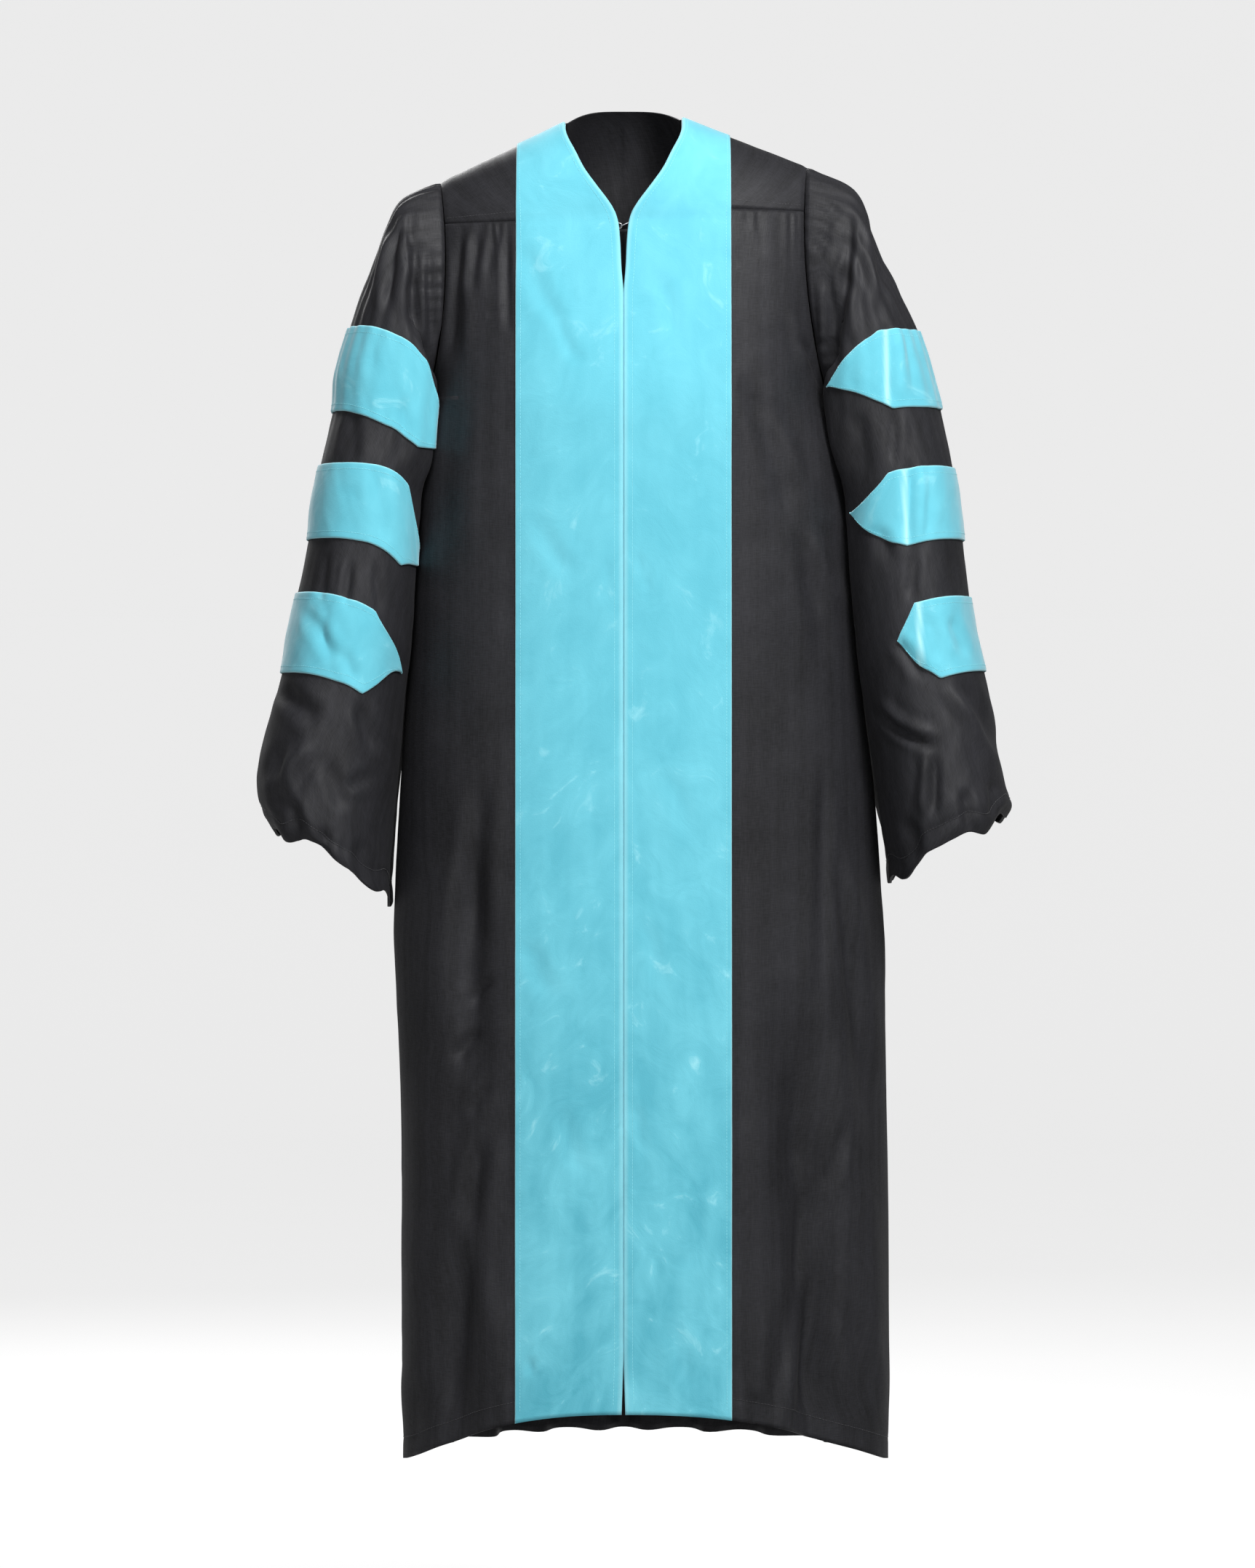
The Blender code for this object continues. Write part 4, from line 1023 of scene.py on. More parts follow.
@functools.lru_cache
def black_cloth():
    """Black polyester in plain weave: matte, with the faint satin gleam of smooth filament."""
    made, tree, shader = start_material(
        "black_polyester", Sheen_Weight=0.02, Sheen_Roughness=0.4, IOR=1.5, Specular_IOR_Level=0.22
    )
    place = node(tree, "ShaderNodeUVMap", uv_map="cloth").outputs["UV"]
    # Threads are 0.25 mm apart in the real cloth; they are drawn 1.1 mm apart so that they show
    warp = threads(tree, place, False, 0.014, 0.0011)
    weft = threads(tree, place, True, 0.010, 0.0011)
    weave = node(tree, "ShaderNodeMath", {0: warp, 1: weft}, operation="ADD").outputs[0]
    streaks = threads(tree, place, False, 0.35, 0.012)
    cloudy = node(tree, "ShaderNodeTexNoise", {"Vector": place, "Scale": 9.0, "Detail": 3.0}).outputs["Fac"]
    tone = node(tree, "ShaderNodeMath", {0: weave, 1: streaks}, operation="ADD").outputs[0]
    tone = node(tree, "ShaderNodeMath", {0: tone, 1: cloudy}, operation="ADD").outputs[0]
    share = node(
        tree, "ShaderNodeMapRange", {"Value": tone, "From Min": 1.5, "From Max": 2.5, "To Min": 0.0, "To Max": 1.0}
    ).outputs["Result"]
    mix = node(
        tree,
        "ShaderNodeMix",
        {"Factor": share, "A": (*colours().black_deep, 1), "B": (*colours().black, 1)},
        data_type="RGBA",
    )
    rough = node(
        tree, "ShaderNodeMapRange", {"Value": tone, "From Min": 1.5, "From Max": 2.5, "To Min": 0.62, "To Max": 0.50}
    ).outputs["Result"]
    bump = node(tree, "ShaderNodeBump", {"Height": weave, "Strength": 0.35, "Distance": 0.0004})
    tree.links.new(mix.outputs["Result"], shader.inputs["Base Color"])
    tree.links.new(rough, shader.inputs["Roughness"])
    tree.links.new(bump.outputs["Normal"], shader.inputs["Normal"])
    return made


@functools.lru_cache
def velvet():
    """Cotton-backed velvet: a short pile that clouds where brushed, with a painted highlight where it tips over an
    edge.
    """
    made, tree, shader = start_material(
        "turquoise_velvet", Sheen_Weight=0.5, Sheen_Roughness=0.4, Roughness=0.9, Specular_IOR_Level=0.15
    )
    place = node(tree, "ShaderNodeUVMap", uv_map="cloth").outputs["UV"]
    where = node(tree, "ShaderNodeTexCoord").outputs["Object"]
    height = node(tree, "ShaderNodeSeparateXYZ", {"Vector": where}).outputs["Z"]
    # Pile tufts are 0.3 mm apart; they are drawn 1.2 mm apart so that they show
    pile = node(tree, "ShaderNodeTexNoise", {"Vector": place, "Scale": 800.0, "Detail": 2.0}).outputs["Fac"]
    brushed = node(
        tree,
        "ShaderNodeTexNoise",
        {"Vector": place, "Scale": 26.0, "Detail": 6.0, "Roughness": 0.62, "Distortion": 1.1},
    ).outputs["Fac"]
    cloudy = node(tree, "ShaderNodeTexNoise", {"Vector": place, "Scale": 7.0, "Detail": 3.0}).outputs["Fac"]
    down = threads(tree, place, False, 0.110, 0.030)
    nap = node(tree, "ShaderNodeMath", {0: brushed, 1: cloudy}, operation="ADD").outputs[0]
    nap = node(tree, "ShaderNodeMath", {0: nap, 1: down}, operation="ADD").outputs[0]
    # The lower half is more crushed than the upper
    crushed = node(
        tree, "ShaderNodeMapRange", {"Value": height, "From Min": -1.25, "From Max": -0.5, "To Min": 1.0, "To Max": 0.4}
    ).outputs["Result"]
    spread = node(
        tree, "ShaderNodeMapRange", {"Value": nap, "From Min": 1.2, "From Max": 1.85, "To Min": -0.5, "To Max": 0.5}
    ).outputs["Result"]
    spread = node(tree, "ShaderNodeMath", {0: spread, 1: crushed, 2: 0.5}, operation="MULTIPLY_ADD").outputs[0]
    body = node(
        tree,
        "ShaderNodeMix",
        {"Factor": spread, "A": (*colours().velvet_deep, 1), "B": (*colours().velvet, 1)},
        data_type="RGBA",
    )
    worn = node(
        tree, "ShaderNodeMapRange", {"Value": brushed, "From Min": 0.62, "From Max": 0.78, "To Min": 0.0, "To Max": 0.6}
    ).outputs["Result"]
    worn = node(tree, "ShaderNodeMath", {0: worn, 1: crushed}, operation="MULTIPLY").outputs[0]
    # The pale colour is mixed in at the worn patches and, through the "edge" attribute, as a painted highlight along
    # turned edges
    edge = node(tree, "ShaderNodeAttribute", attribute_name="edge", attribute_type="GEOMETRY").outputs["Fac"]
    pale = node(tree, "ShaderNodeMath", {0: worn, 1: edge}, operation="MAXIMUM").outputs[0]
    wear_and_highlight = node(
        tree,
        "ShaderNodeMix",
        {"Factor": pale, "A": body.outputs["Result"], "B": (*colours().velvet_pale_wear_and_highlight, 1)},
        data_type="RGBA",
    )
    bump = node(tree, "ShaderNodeBump", {"Height": pile, "Strength": 0.25, "Distance": 0.0006})
    ripple = node(
        tree, "ShaderNodeBump", {"Height": nap, "Strength": 0.5, "Distance": 0.0010, "Normal": bump.outputs["Normal"]}
    )
    tree.links.new(wear_and_highlight.outputs["Result"], shader.inputs["Base Color"])
    tree.links.new(ripple.outputs["Normal"], shader.inputs["Normal"])
    return made


@functools.lru_cache
def thread(name, colour):
    """Spun polyester sewing thread: two plies, slightly hairy, with a low gleam."""
    made, tree, shader = start_material("thread_" + name, Roughness=0.6, Sheen_Weight=0.2)
    where = node(tree, "ShaderNodeTexCoord").outputs["Object"]
    # Plies turn every 0.5 mm; they are drawn 0.8 mm apart
    ply = node(tree, "ShaderNodeTexNoise", {"Vector": where, "Scale": 1250.0, "Detail": 1.0}).outputs["Fac"]
    shade = node(tree, "ShaderNodeMapRange", {"Value": ply, "To Min": 0.75, "To Max": 1.15}).outputs["Result"]
    colour = node(tree, "ShaderNodeVectorMath", {0: colour, "Scale": shade}, operation="SCALE")
    tree.links.new(colour.outputs["Vector"], shader.inputs["Base Color"])
    return made


@functools.lru_cache
def zip_tape_cloth():
    """Polyester zip tape: a tight herringbone, flatter and duller than the gown's cloth."""
    made, tree, shader = start_material("zip_tape_herringbone", Roughness=0.75, Sheen_Weight=0.15)
    place = node(tree, "ShaderNodeUVMap", uv_map="cloth").outputs["UV"]
    # Ribs 0.6 mm apart, drawn at 1.2 mm
    turned = node(tree, "ShaderNodeMapping", {"Vector": place, "Rotation": (0, 0, math.radians(45))})
    rib = node(
        tree, "ShaderNodeTexWave", {"Vector": turned.outputs["Vector"], "Scale": 262.0, "Distortion": 0.6}
    ).outputs["Fac"]
    mix = node(
        tree,
        "ShaderNodeMix",
        {"Factor": rib, "A": (*linear("#151516"), 1), "B": (*linear("#232325"), 1)},
        data_type="RGBA",
    )
    bump = node(tree, "ShaderNodeBump", {"Height": rib, "Strength": 0.4, "Distance": 0.0003})
    tree.links.new(mix.outputs["Result"], shader.inputs["Base Color"])
    tree.links.new(bump.outputs["Normal"], shader.inputs["Normal"])
    return made


@functools.lru_cache
def nylon():
    """Moulded black nylon: the zip's coil, smooth with a soft gloss."""
    made, tree, shader = start_material("black_nylon", IOR=1.53)
    where = node(tree, "ShaderNodeTexCoord").outputs["Object"]
    grain = node(tree, "ShaderNodeTexNoise", {"Vector": where, "Scale": 900.0, "Detail": 2.0}).outputs["Fac"]
    rough = node(tree, "ShaderNodeMapRange", {"Value": grain, "To Min": 0.32, "To Max": 0.5}).outputs["Result"]
    mix = node(
        tree,
        "ShaderNodeMix",
        {"Factor": grain, "A": (*linear("#121213"), 1), "B": (*linear("#1d1d1f"), 1)},
        data_type="RGBA",
    )
    tree.links.new(mix.outputs["Result"], shader.inputs["Base Color"])
    tree.links.new(rough, shader.inputs["Roughness"])
    return made


@functools.lru_cache
def plated_steel():
    """Nickel-plated steel: bright, with fine rubbed marks from use."""
    made, tree, shader = start_material("nickel_plated_steel", Metallic=1.0)
    where = node(tree, "ShaderNodeTexCoord").outputs["Object"]
    rubbed = node(tree, "ShaderNodeTexNoise", {"Vector": where, "Scale": 1400.0, "Detail": 3.0}).outputs["Fac"]
    rough = node(tree, "ShaderNodeMapRange", {"Value": rubbed, "To Min": 0.22, "To Max": 0.42}).outputs["Result"]
    mix = node(
        tree,
        "ShaderNodeMix",
        {"Factor": rubbed, "A": (*linear("#9a9b9f"), 1), "B": (*colours().steel, 1)},
        data_type="RGBA",
    )
    tree.links.new(mix.outputs["Result"], shader.inputs["Base Color"])
    tree.links.new(rough, shader.inputs["Roughness"])
    return made


def studio_paper():
    """Matte paper round the gown: it looks white, yet throws little light on the black cloth."""
    made, tree, shader = start_material("studio_paper", Roughness=0.95, Specular_IOR_Level=0.1)
    where = node(tree, "ShaderNodeTexCoord").outputs["Object"]
    fibre = node(tree, "ShaderNodeTexNoise", {"Vector": where, "Scale": 3.0, "Detail": 3.0}).outputs["Fac"]
    mix = node(
        tree,
        "ShaderNodeMix",
        {"Factor": fibre, "A": (*linear("#989898"), 1), "B": (*linear("#9e9e9e"), 1)},
        data_type="RGBA",
    )
    shader.inputs["Emission Color"].default_value = (1, 1, 1, 1)
    seen = node(tree, "ShaderNodeLightPath").outputs["Is Camera Ray"]
    glow = node(tree, "ShaderNodeMapRange", {"Value": seen, "To Min": 0.08, "To Max": 0.76}).outputs["Result"]
    tree.links.new(glow, shader.inputs["Emission Strength"])
    tree.links.new(mix.outputs["Result"], shader.inputs["Base Color"])
    return made


# Sewing


def stitch_template():
    """One stitch, 1 long on X and 1 thick: a short rod that narrows into the cloth at both ends."""
    bpy.ops.object.select_all(action="DESELECT")
    bpy.ops.mesh.primitive_cylinder_add(vertices=5, radius=0.5, depth=0.7, rotation=(0, math.pi / 2, 0))
    rod = bpy.context.object
    bpy.ops.object.mode_set(mode="EDIT")
    for end in (-1, 1):
        bpy.ops.mesh.select_mode(type="FACE")
        bpy.ops.mesh.select_all(action="DESELECT")
        bpy.ops.object.mode_set(mode="OBJECT")
        for face in rod.data.polygons:
            face.select = (rod.matrix_world.to_3x3() @ face.normal).x * end > 0.9
        bpy.ops.object.mode_set(mode="EDIT")
        bpy.ops.mesh.extrude_region_move(TRANSFORM_OT_translate={"value": (0.15 * end, 0, -0.35)})
        bpy.ops.transform.resize(value=(0.5, 0.5, 0.5))
    bpy.ops.object.mode_set(mode="OBJECT")
    bpy.ops.object.transform_apply(location=True, rotation=True, scale=True)
    points = np.zeros(len(rod.data.vertices) * 3)
    rod.data.vertices.foreach_get("co", points)
    rod.data.calc_loop_triangles()
    faces = np.array([tuple(t.vertices) for t in rod.data.loop_triangles])
    bpy.data.objects.remove(rod, do_unlink=True)
    return points.reshape(-1, 3), faces


def sew(name, lines, material):
    """One piece that holds every stitch of several seams; a line is its points and normals."""
    pitch, thick = sizes().stitch, sizes().thread
    template, faces = stitch_template()
    middle, ahead, up = [], [], []
    for points, normals in lines:
        run = np.concatenate(([0], np.linalg.norm(np.diff(points, axis=0), axis=1).cumsum()))
        count = int(run[-1] / pitch)
        at = (np.arange(count) + 0.5) * pitch
        spots = [np.stack([np.interp(at + s, run, points[:, k]) for k in range(3)], axis=1) for s in (-0.0012, 0.0012)]
        middle.append((spots[0] + spots[1]) / 2)
        ahead.append(unit(spots[1] - spots[0]))
        up.append(unit(np.stack([np.interp(at, run, normals[:, k]) for k in range(3)], axis=1)))
    middle, ahead, up = map(np.concatenate, (middle, ahead, up))
    side = unit(np.cross(up, ahead))
    up = np.cross(ahead, side)
    x, y, z = template.T
    made = (
        middle[:, None]
        + ahead[:, None] * (x * pitch * 0.78)[:, None]
        + side[:, None] * (y * thick)[:, None]
        + up[:, None] * (z * thick + 0.15 * thick)[:, None]
    )
    every = faces[None] + (np.arange(len(middle)) * len(template))[:, None, None]
    mesh = bpy.data.meshes.new(name)
    mesh.from_pydata(made.reshape(-1, 3), [], every.reshape(-1, 3))
    mesh.polygons.foreach_set("use_smooth", np.ones(len(mesh.polygons), bool))
    return place(name, mesh, material)


# Pieces


class GOWN_OT_fronts(bpy.types.Operator):
    """Cut the two front yokes and the two fronts, with their folds and turned hems"""

    bl_idname = "gown.fronts"
    bl_label = "Fronts"

    def execute(self, context):
        for side in SIDES:
            skin, up = front_surface(side)
            skin = cut_back(skin, WRAP)
            upper, lower = slice(0, YOKE_CUTS + 1), slice(YOKE_CUTS, None)
            yoke = cloth_wall("cloth_front_yoke_" + side, skin[upper], up[upper], black_cloth())
            keep(yoke, "black_cloth", "front_yoke_" + side)
            front = cloth_wall(
                "cloth_front_" + side, skin[lower], up[lower], black_cloth(), hemmed=True, origin=(0.0, 0.2)
            )
            keep(front, "black_cloth", "front_" + side)
        return {"FINISHED"}


class GOWN_OT_back(bpy.types.Operator):
    """Cut the back yoke and gather the back into flutes under it"""

    bl_idname = "gown.back"
    bl_label = "Back"

    def execute(self, context):
        skin, up = back_surface()
        upper, lower = slice(0, YOKE_CUTS + 1), slice(YOKE_CUTS, None)
        yoke = cloth_wall("cloth_back_yoke", skin[upper], up[upper], black_cloth())
        keep(yoke, "black_cloth", "back_yoke")
        back = cloth_wall("cloth_back", skin[lower], up[lower], black_cloth(), hemmed=True, origin=(0.0, 0.2))
        keep(back, "black_cloth", "back")
        return {"FINISHED"}


class GOWN_OT_sleeves(bpy.types.Operator):
    """Set the two bell sleeves into their armholes"""

    bl_idname = "gown.sleeves"
    bl_label = "Sleeves"

    def execute(self, context):
        for side in SIDES:
            skin, up = sleeve_surface(side)
            sleeve = cloth_wall("cloth_sleeve_" + side, skin, up, black_cloth(), closed=True, hemmed=True)
            keep(sleeve, "black_cloth", "sleeve_" + side)
        return {"FINISHED"}


def rounded(distance, air):
    """Height of velvet above its cloth at a distance from its edge."""
    pile = sizes().pile
    inside = np.clip(distance / (0.8 * pile), 0, 1)
    return air + pile * (0.25 + 0.75 * np.sqrt(1 - (1 - inside) ** 2))


def painted_edge_highlight(distance):
    """Painted highlight near a turned edge, where the pile opens: its strength at a distance from the edge."""
    return 0.5 * np.exp(-((distance / 0.0009) ** 2))


@functools.lru_cache
def velvet_grid(side):
    """Outer and inner skin of a velvet panel that wraps its cloth's inner edge."""
    skin, up = front_surface(side)
    across = np.linalg.norm(np.diff(skin[:, : FRONT_INNER_CUTS + 1], axis=1), axis=-1).cumsum(1)
    width = across[:, -1:]
    turns = len(VELVET_TURN)
    outer_in, outer_up, inner_in, inner_up = (np.broadcast_to(c, (len(skin), turns)) for c in VELVET_TURN.T)
    top = outer_in[:, -1:] + (width - 0.002 - outer_in[:, -1:]) * np.linspace(0, 1, 31)[None, 1:]
    last = width - np.array((0.0012, 0.0005, 0.0001, 0.0))
    over = np.concatenate((top, last), axis=1)
    flat = np.full(over.shape, LAID)
    rows = np.broadcast_to(np.arange(len(skin), dtype=float)[:, None], (len(skin), turns + over.shape[1]))
    skins = []
    for turn_in, turn_up, height in ((outer_in, outer_up, rounded(width - over, LAID)), (inner_in, inner_up, flat)):
        reach = np.concatenate((turn_in, over), axis=1)
        column = np.maximum(reach, 0) / width * FRONT_INNER_CUTS
        at, turned = pick(skin, rows, column), unit(pick(up, rows, column))
        at = at + unit(skin[:, 1] - skin[:, 0])[:, None] * np.minimum(reach, 0)[..., None]
        skins.append(at + np.concatenate((turn_up, height), axis=1)[..., None] * turned)
    from_edge = np.concatenate((np.full((len(skin), turns), 0.0008), over), axis=1)
    return skins[0], skins[1], np.minimum(from_edge, np.maximum(width - from_edge, 0)), turned


class GOWN_OT_velvet_panels(bpy.types.Operator):
    """Lay the velvet panels down both fronts from the shoulder seams to the hem"""

    bl_idname = "gown.velvet_panels"
    bl_label = "Velvet panels"

    def execute(self, context):
        for side in SIDES:
            outer, inner, distance, _ = velvet_grid(side)
            # The "edge" values paint a highlight along the panel's turned edges
            panel = shell(
                "panel_velvet_" + side, outer, inner, velvet(), edge=painted_edge_highlight(distance), origin=(0.7 * SIDES[side]["sign"], 0)
            )
            keep(panel, "velvet", "velvet_" + side)
        return {"FINISHED"}


def bar_grid(side, number):
    """Rows and columns on the sleeve's grid of one pointed bar."""
    spec, rise = BARS[side][number], BAR_TIP_RISE[side][number]
    upper, top, tip, bottom, back_top, back_tip, back_bottom = spec
    ends = np.array((0, 0.03, 0.08, 0.18, 0.35)) * SLEEVE_QUADS / SLEEVE_COLUMNS * 2
    low, high = (round(end * SLEEVE_COLUMNS / SLEEVE_QUADS) for end in (back_tip + 0.3, tip - 0.3))
    body = np.arange(low, high + 1) * SLEEVE_QUADS / SLEEVE_COLUMNS
    c = np.concatenate((back_tip + ends, body, tip - ends[::-1]))
    up = np.minimum(1, np.minimum((tip - c) / (tip - top), (c - back_tip) / (back_top - back_tip)))
    low = np.minimum(1, np.minimum((tip - c) / (tip - bottom), (c - back_tip) / (back_bottom - back_tip)))
    up, low = np.maximum(up, 0.02), np.maximum(low, 0.02)
    steps = np.array((0, 0.008, 0.02, 0.045, 0.08))
    across = np.concatenate((steps, np.linspace(0.08, 0.92, 23)[1:-1], 1 - steps[::-1]))
    row = (upper + 1) - up[None] + (up + low)[None] * across[:, None]
    row = row - rise * np.clip((c - top) / (tip - top), 0, 1) ** 1.6
    return row * SLEEVE_CUTS, np.broadcast_to(c * SLEEVE_COLUMNS / SLEEVE_QUADS, row.shape)


def bar_skin(side, number):
    """Outer and inner skin of a bar, distance from its edges, and normals."""
    skin, up = sleeve_surface(side)
    row, column = bar_grid(side, number)
    at = pick(skin, row, column, closed=True)
    turned = unit(pick(up, row, column, closed=True))
    down = np.linalg.norm(np.diff(at, axis=0), axis=-1).cumsum(0)
    down = np.concatenate((np.zeros((1, at.shape[1])), down))
    lengthways = np.linalg.norm(np.diff(at, axis=1), axis=-1).cumsum(1)
    lengthways = np.concatenate((np.zeros((len(at), 1)), lengthways), axis=1)
    distance = np.minimum(down, down[-1:] - down)
    distance = np.minimum(distance, np.minimum(lengthways, lengthways[:, -1:] - lengthways))
    lift = rounded(distance, LAID_BAR)
    base = np.full(lift.shape, LAID_BAR)
    return at + lift[..., None] * turned, at + base[..., None] * turned, distance, turned


class GOWN_OT_sleeve_bars(bpy.types.Operator):
    """Lay three pointed velvet bars round each sleeve"""

    bl_idname = "gown.sleeve_bars"
    bl_label = "Sleeve bars"

    def execute(self, context):
        for side in SIDES:
            for i in range(1, len(BARS[side]) + 1):
                outer, inner, distance, _ = bar_skin(side, i - 1)
                # Painted highlight: a pale line down the bar where its pressed fold catches the light, with the painted
                # highlight along its edges
                highlight_gap = np.abs(np.abs(outer[..., 0]) - BAR_HIGHLIGHT_X[side][i - 1] + 0.02 * (outer[..., 2] + 0.4))
                pale = np.maximum(painted_edge_highlight(distance), 0.65 * np.exp(-((highlight_gap / 0.0025) ** 2)))
                bar = shell(
                    f"velvet_bar_{side}_{i}", outer, inner, velvet(), edge=pale, origin=(2.0 * i, 0.3 * i)
                )
                keep(bar, "velvet", f"bar_{side}_{i}")
        return {"FINISHED"}


class GOWN_OT_stitching(bpy.types.Operator):
    """Sew the velvet down and the hems and yokes with visible stitches"""

    bl_idname = "gown.stitching"
    bl_label = "Stitching"

    def execute(self, context):
        pale, dark = [], []
        for side in SIDES:
            outer, _, _, up = velvet_grid(side)
            for column in (10, outer.shape[1] - 6):
                pale.append((outer[2:-2, column], up[2:-2, column]))
            for number in range(len(BARS[side])):
                skin, _, _, turned = bar_skin(side, number)
                for row in (4, len(skin) - 5):
                    pale.append((skin[row, 6:-6], turned[row, 6:-6]))
            skin, up = front_surface(side)
            seam = YOKE_CUTS - 2
            dark.append((skin[seam, FRONT_INNER_CUTS + 1 : -2], up[seam, FRONT_INNER_CUTS + 1 : -2]))
            dark.append(hem_line(skin, up, slice(1, -1)))
            skin, up = sleeve_surface(side)
            ring = list(range(SLEEVE_COLUMNS)) + [0]
            dark.append(hem_line(skin, up, ring))
        skin, up = back_surface()
        dark.append((skin[YOKE_CUTS - 2, 2:-2], up[YOKE_CUTS - 2, 2:-2]))
        dark.append((skin[2, BACK_OUTER_CUTS : -BACK_OUTER_CUTS], up[2, BACK_OUTER_CUTS : -BACK_OUTER_CUTS]))
        dark.append(hem_line(skin, up, slice(1, -1)))
        keep(sew("stitches_velvet", pale, thread("turquoise", linear("#8fdfea"))), "velvet")
        keep(sew("stitches_black", dark, thread("black", linear("#3a3a3e"))), "black_cloth")
        return {"FINISHED"}


def hem_line(skin, up, where):
    """The line where a hem is sewn, a hem's depth above the grid's last row."""
    _, v = along(skin)
    points, normals = [], []
    for column in np.arange(skin.shape[1])[where]:
        at = v[-1, column] - sizes().hem
        points.append([np.interp(at, v[:, column], skin[:, column, k]) for k in range(3)])
        normals.append([np.interp(at, v[:, column], up[:, column, k]) for k in range(3)])
    return np.array(points), np.array(normals)


def inside_front(side, z):
    """Point and normal on the inside of a front's centre edge at a height."""
    skin, up = front_surface(side)
    points, normals = skin[:, 0] - 0.0016 * up[:, 0], up[:, 0]
    order = np.argsort(points[:, 2])
    at = np.array([np.interp(z, points[order, 2], points[order, k]) for k in range(3)])
    turned = unit(np.array([np.interp(z, points[order, 2], normals[order, k]) for k in range(3)]))
    return at, turned


class GOWN_OT_zip(bpy.types.Operator):
    """Sew the closed zip behind the centre front, with its coil and slider"""

    bl_idname = "gown.zip"
    bl_label = "Zip"

    def execute(self, context):
        heights = np.linspace(ZIP_TOP, ZIP_BOTTOM, 240)
        depth = np.array([inside_front("right", z)[0][1] for z in heights]) + 0.0007
        tapes = []
        for sign in (-1, 1):
            across = np.array((0.0016, 0.004, 0.007, ZIP_HALF - 0.0006, ZIP_HALF)) * sign
            rise = np.array((0.0, 0.0, 0.0003, 0.0003, 0.0))
            x = np.broadcast_to(across, (len(heights), 5))
            y = depth[:, None] - rise + 0.0002 * np.sin(heights * 90)[:, None]
            z = np.broadcast_to(heights[:, None], x.shape)
            face = np.stack((x, y, z), axis=-1)
            name = "zip_tape_" + ("left" if sign > 0 else "right")
            tapes.append(shell(name, face, face + (0, 0.0006, 0), zip_tape_cloth(), origin=(4.0 + sign, 0)))
        keep(tapes[0], "zip_tape", "zip")
        keep(tapes[1], "zip_tape")
        keep(coil(depth, heights), "zip_tape")
        keep(slider(), "steel", "zip_slider")
        return {"FINISHED"}


def tooth_template():
    """One turn of the coil: a rounded lug that leans over the centre line."""
    bpy.ops.object.select_all(action="DESELECT")
    bpy.ops.mesh.primitive_cube_add(size=1)
    lug = bpy.context.object
    bpy.ops.object.mode_set(mode="EDIT")
    bpy.ops.mesh.select_all(action="SELECT")
    bpy.ops.transform.resize(value=(0.0030, 0.0012, 0.0010))
    bpy.ops.mesh.bevel(offset=0.0003, segments=1, affect="EDGES")
    bpy.ops.object.mode_set(mode="OBJECT")
    points = np.zeros(len(lug.data.vertices) * 3)
    lug.data.vertices.foreach_get("co", points)
    lug.data.calc_loop_triangles()
    faces = np.array([tuple(t.vertices) for t in lug.data.loop_triangles])
    bpy.data.objects.remove(lug, do_unlink=True)
    return points.reshape(-1, 3), faces


def coil(depth, heights):
    """Both rows of the zip's coil, closed into each other."""
    template, faces = tooth_template()
    pitch = 0.0022
    at = np.arange(ZIP_BOTTOM + 0.004, ZIP_TOP, pitch / 2)
    side = np.where(np.arange(len(at)) % 2, 1.0, -1.0)
    deep = np.interp(at, heights[::-1], depth[::-1]) + 0.0011
    middle = np.stack((side * 0.0010, deep, at), axis=1)
    lean = np.stack((template[:, 0], template[:, 1], template[:, 2]), axis=1)
    points = middle[:, None] + lean[None] + (side[:, None] * template[:, 0] * 0.25)[..., None] * (0, 0, 1)
    every = faces[None] + (np.arange(len(at)) * len(template))[:, None, None]
    mesh = bpy.data.meshes.new("zip_coil")
    mesh.from_pydata(points.reshape(-1, 3), [], every.reshape(-1, 3))
    return place("zip_coil", mesh, nylon())


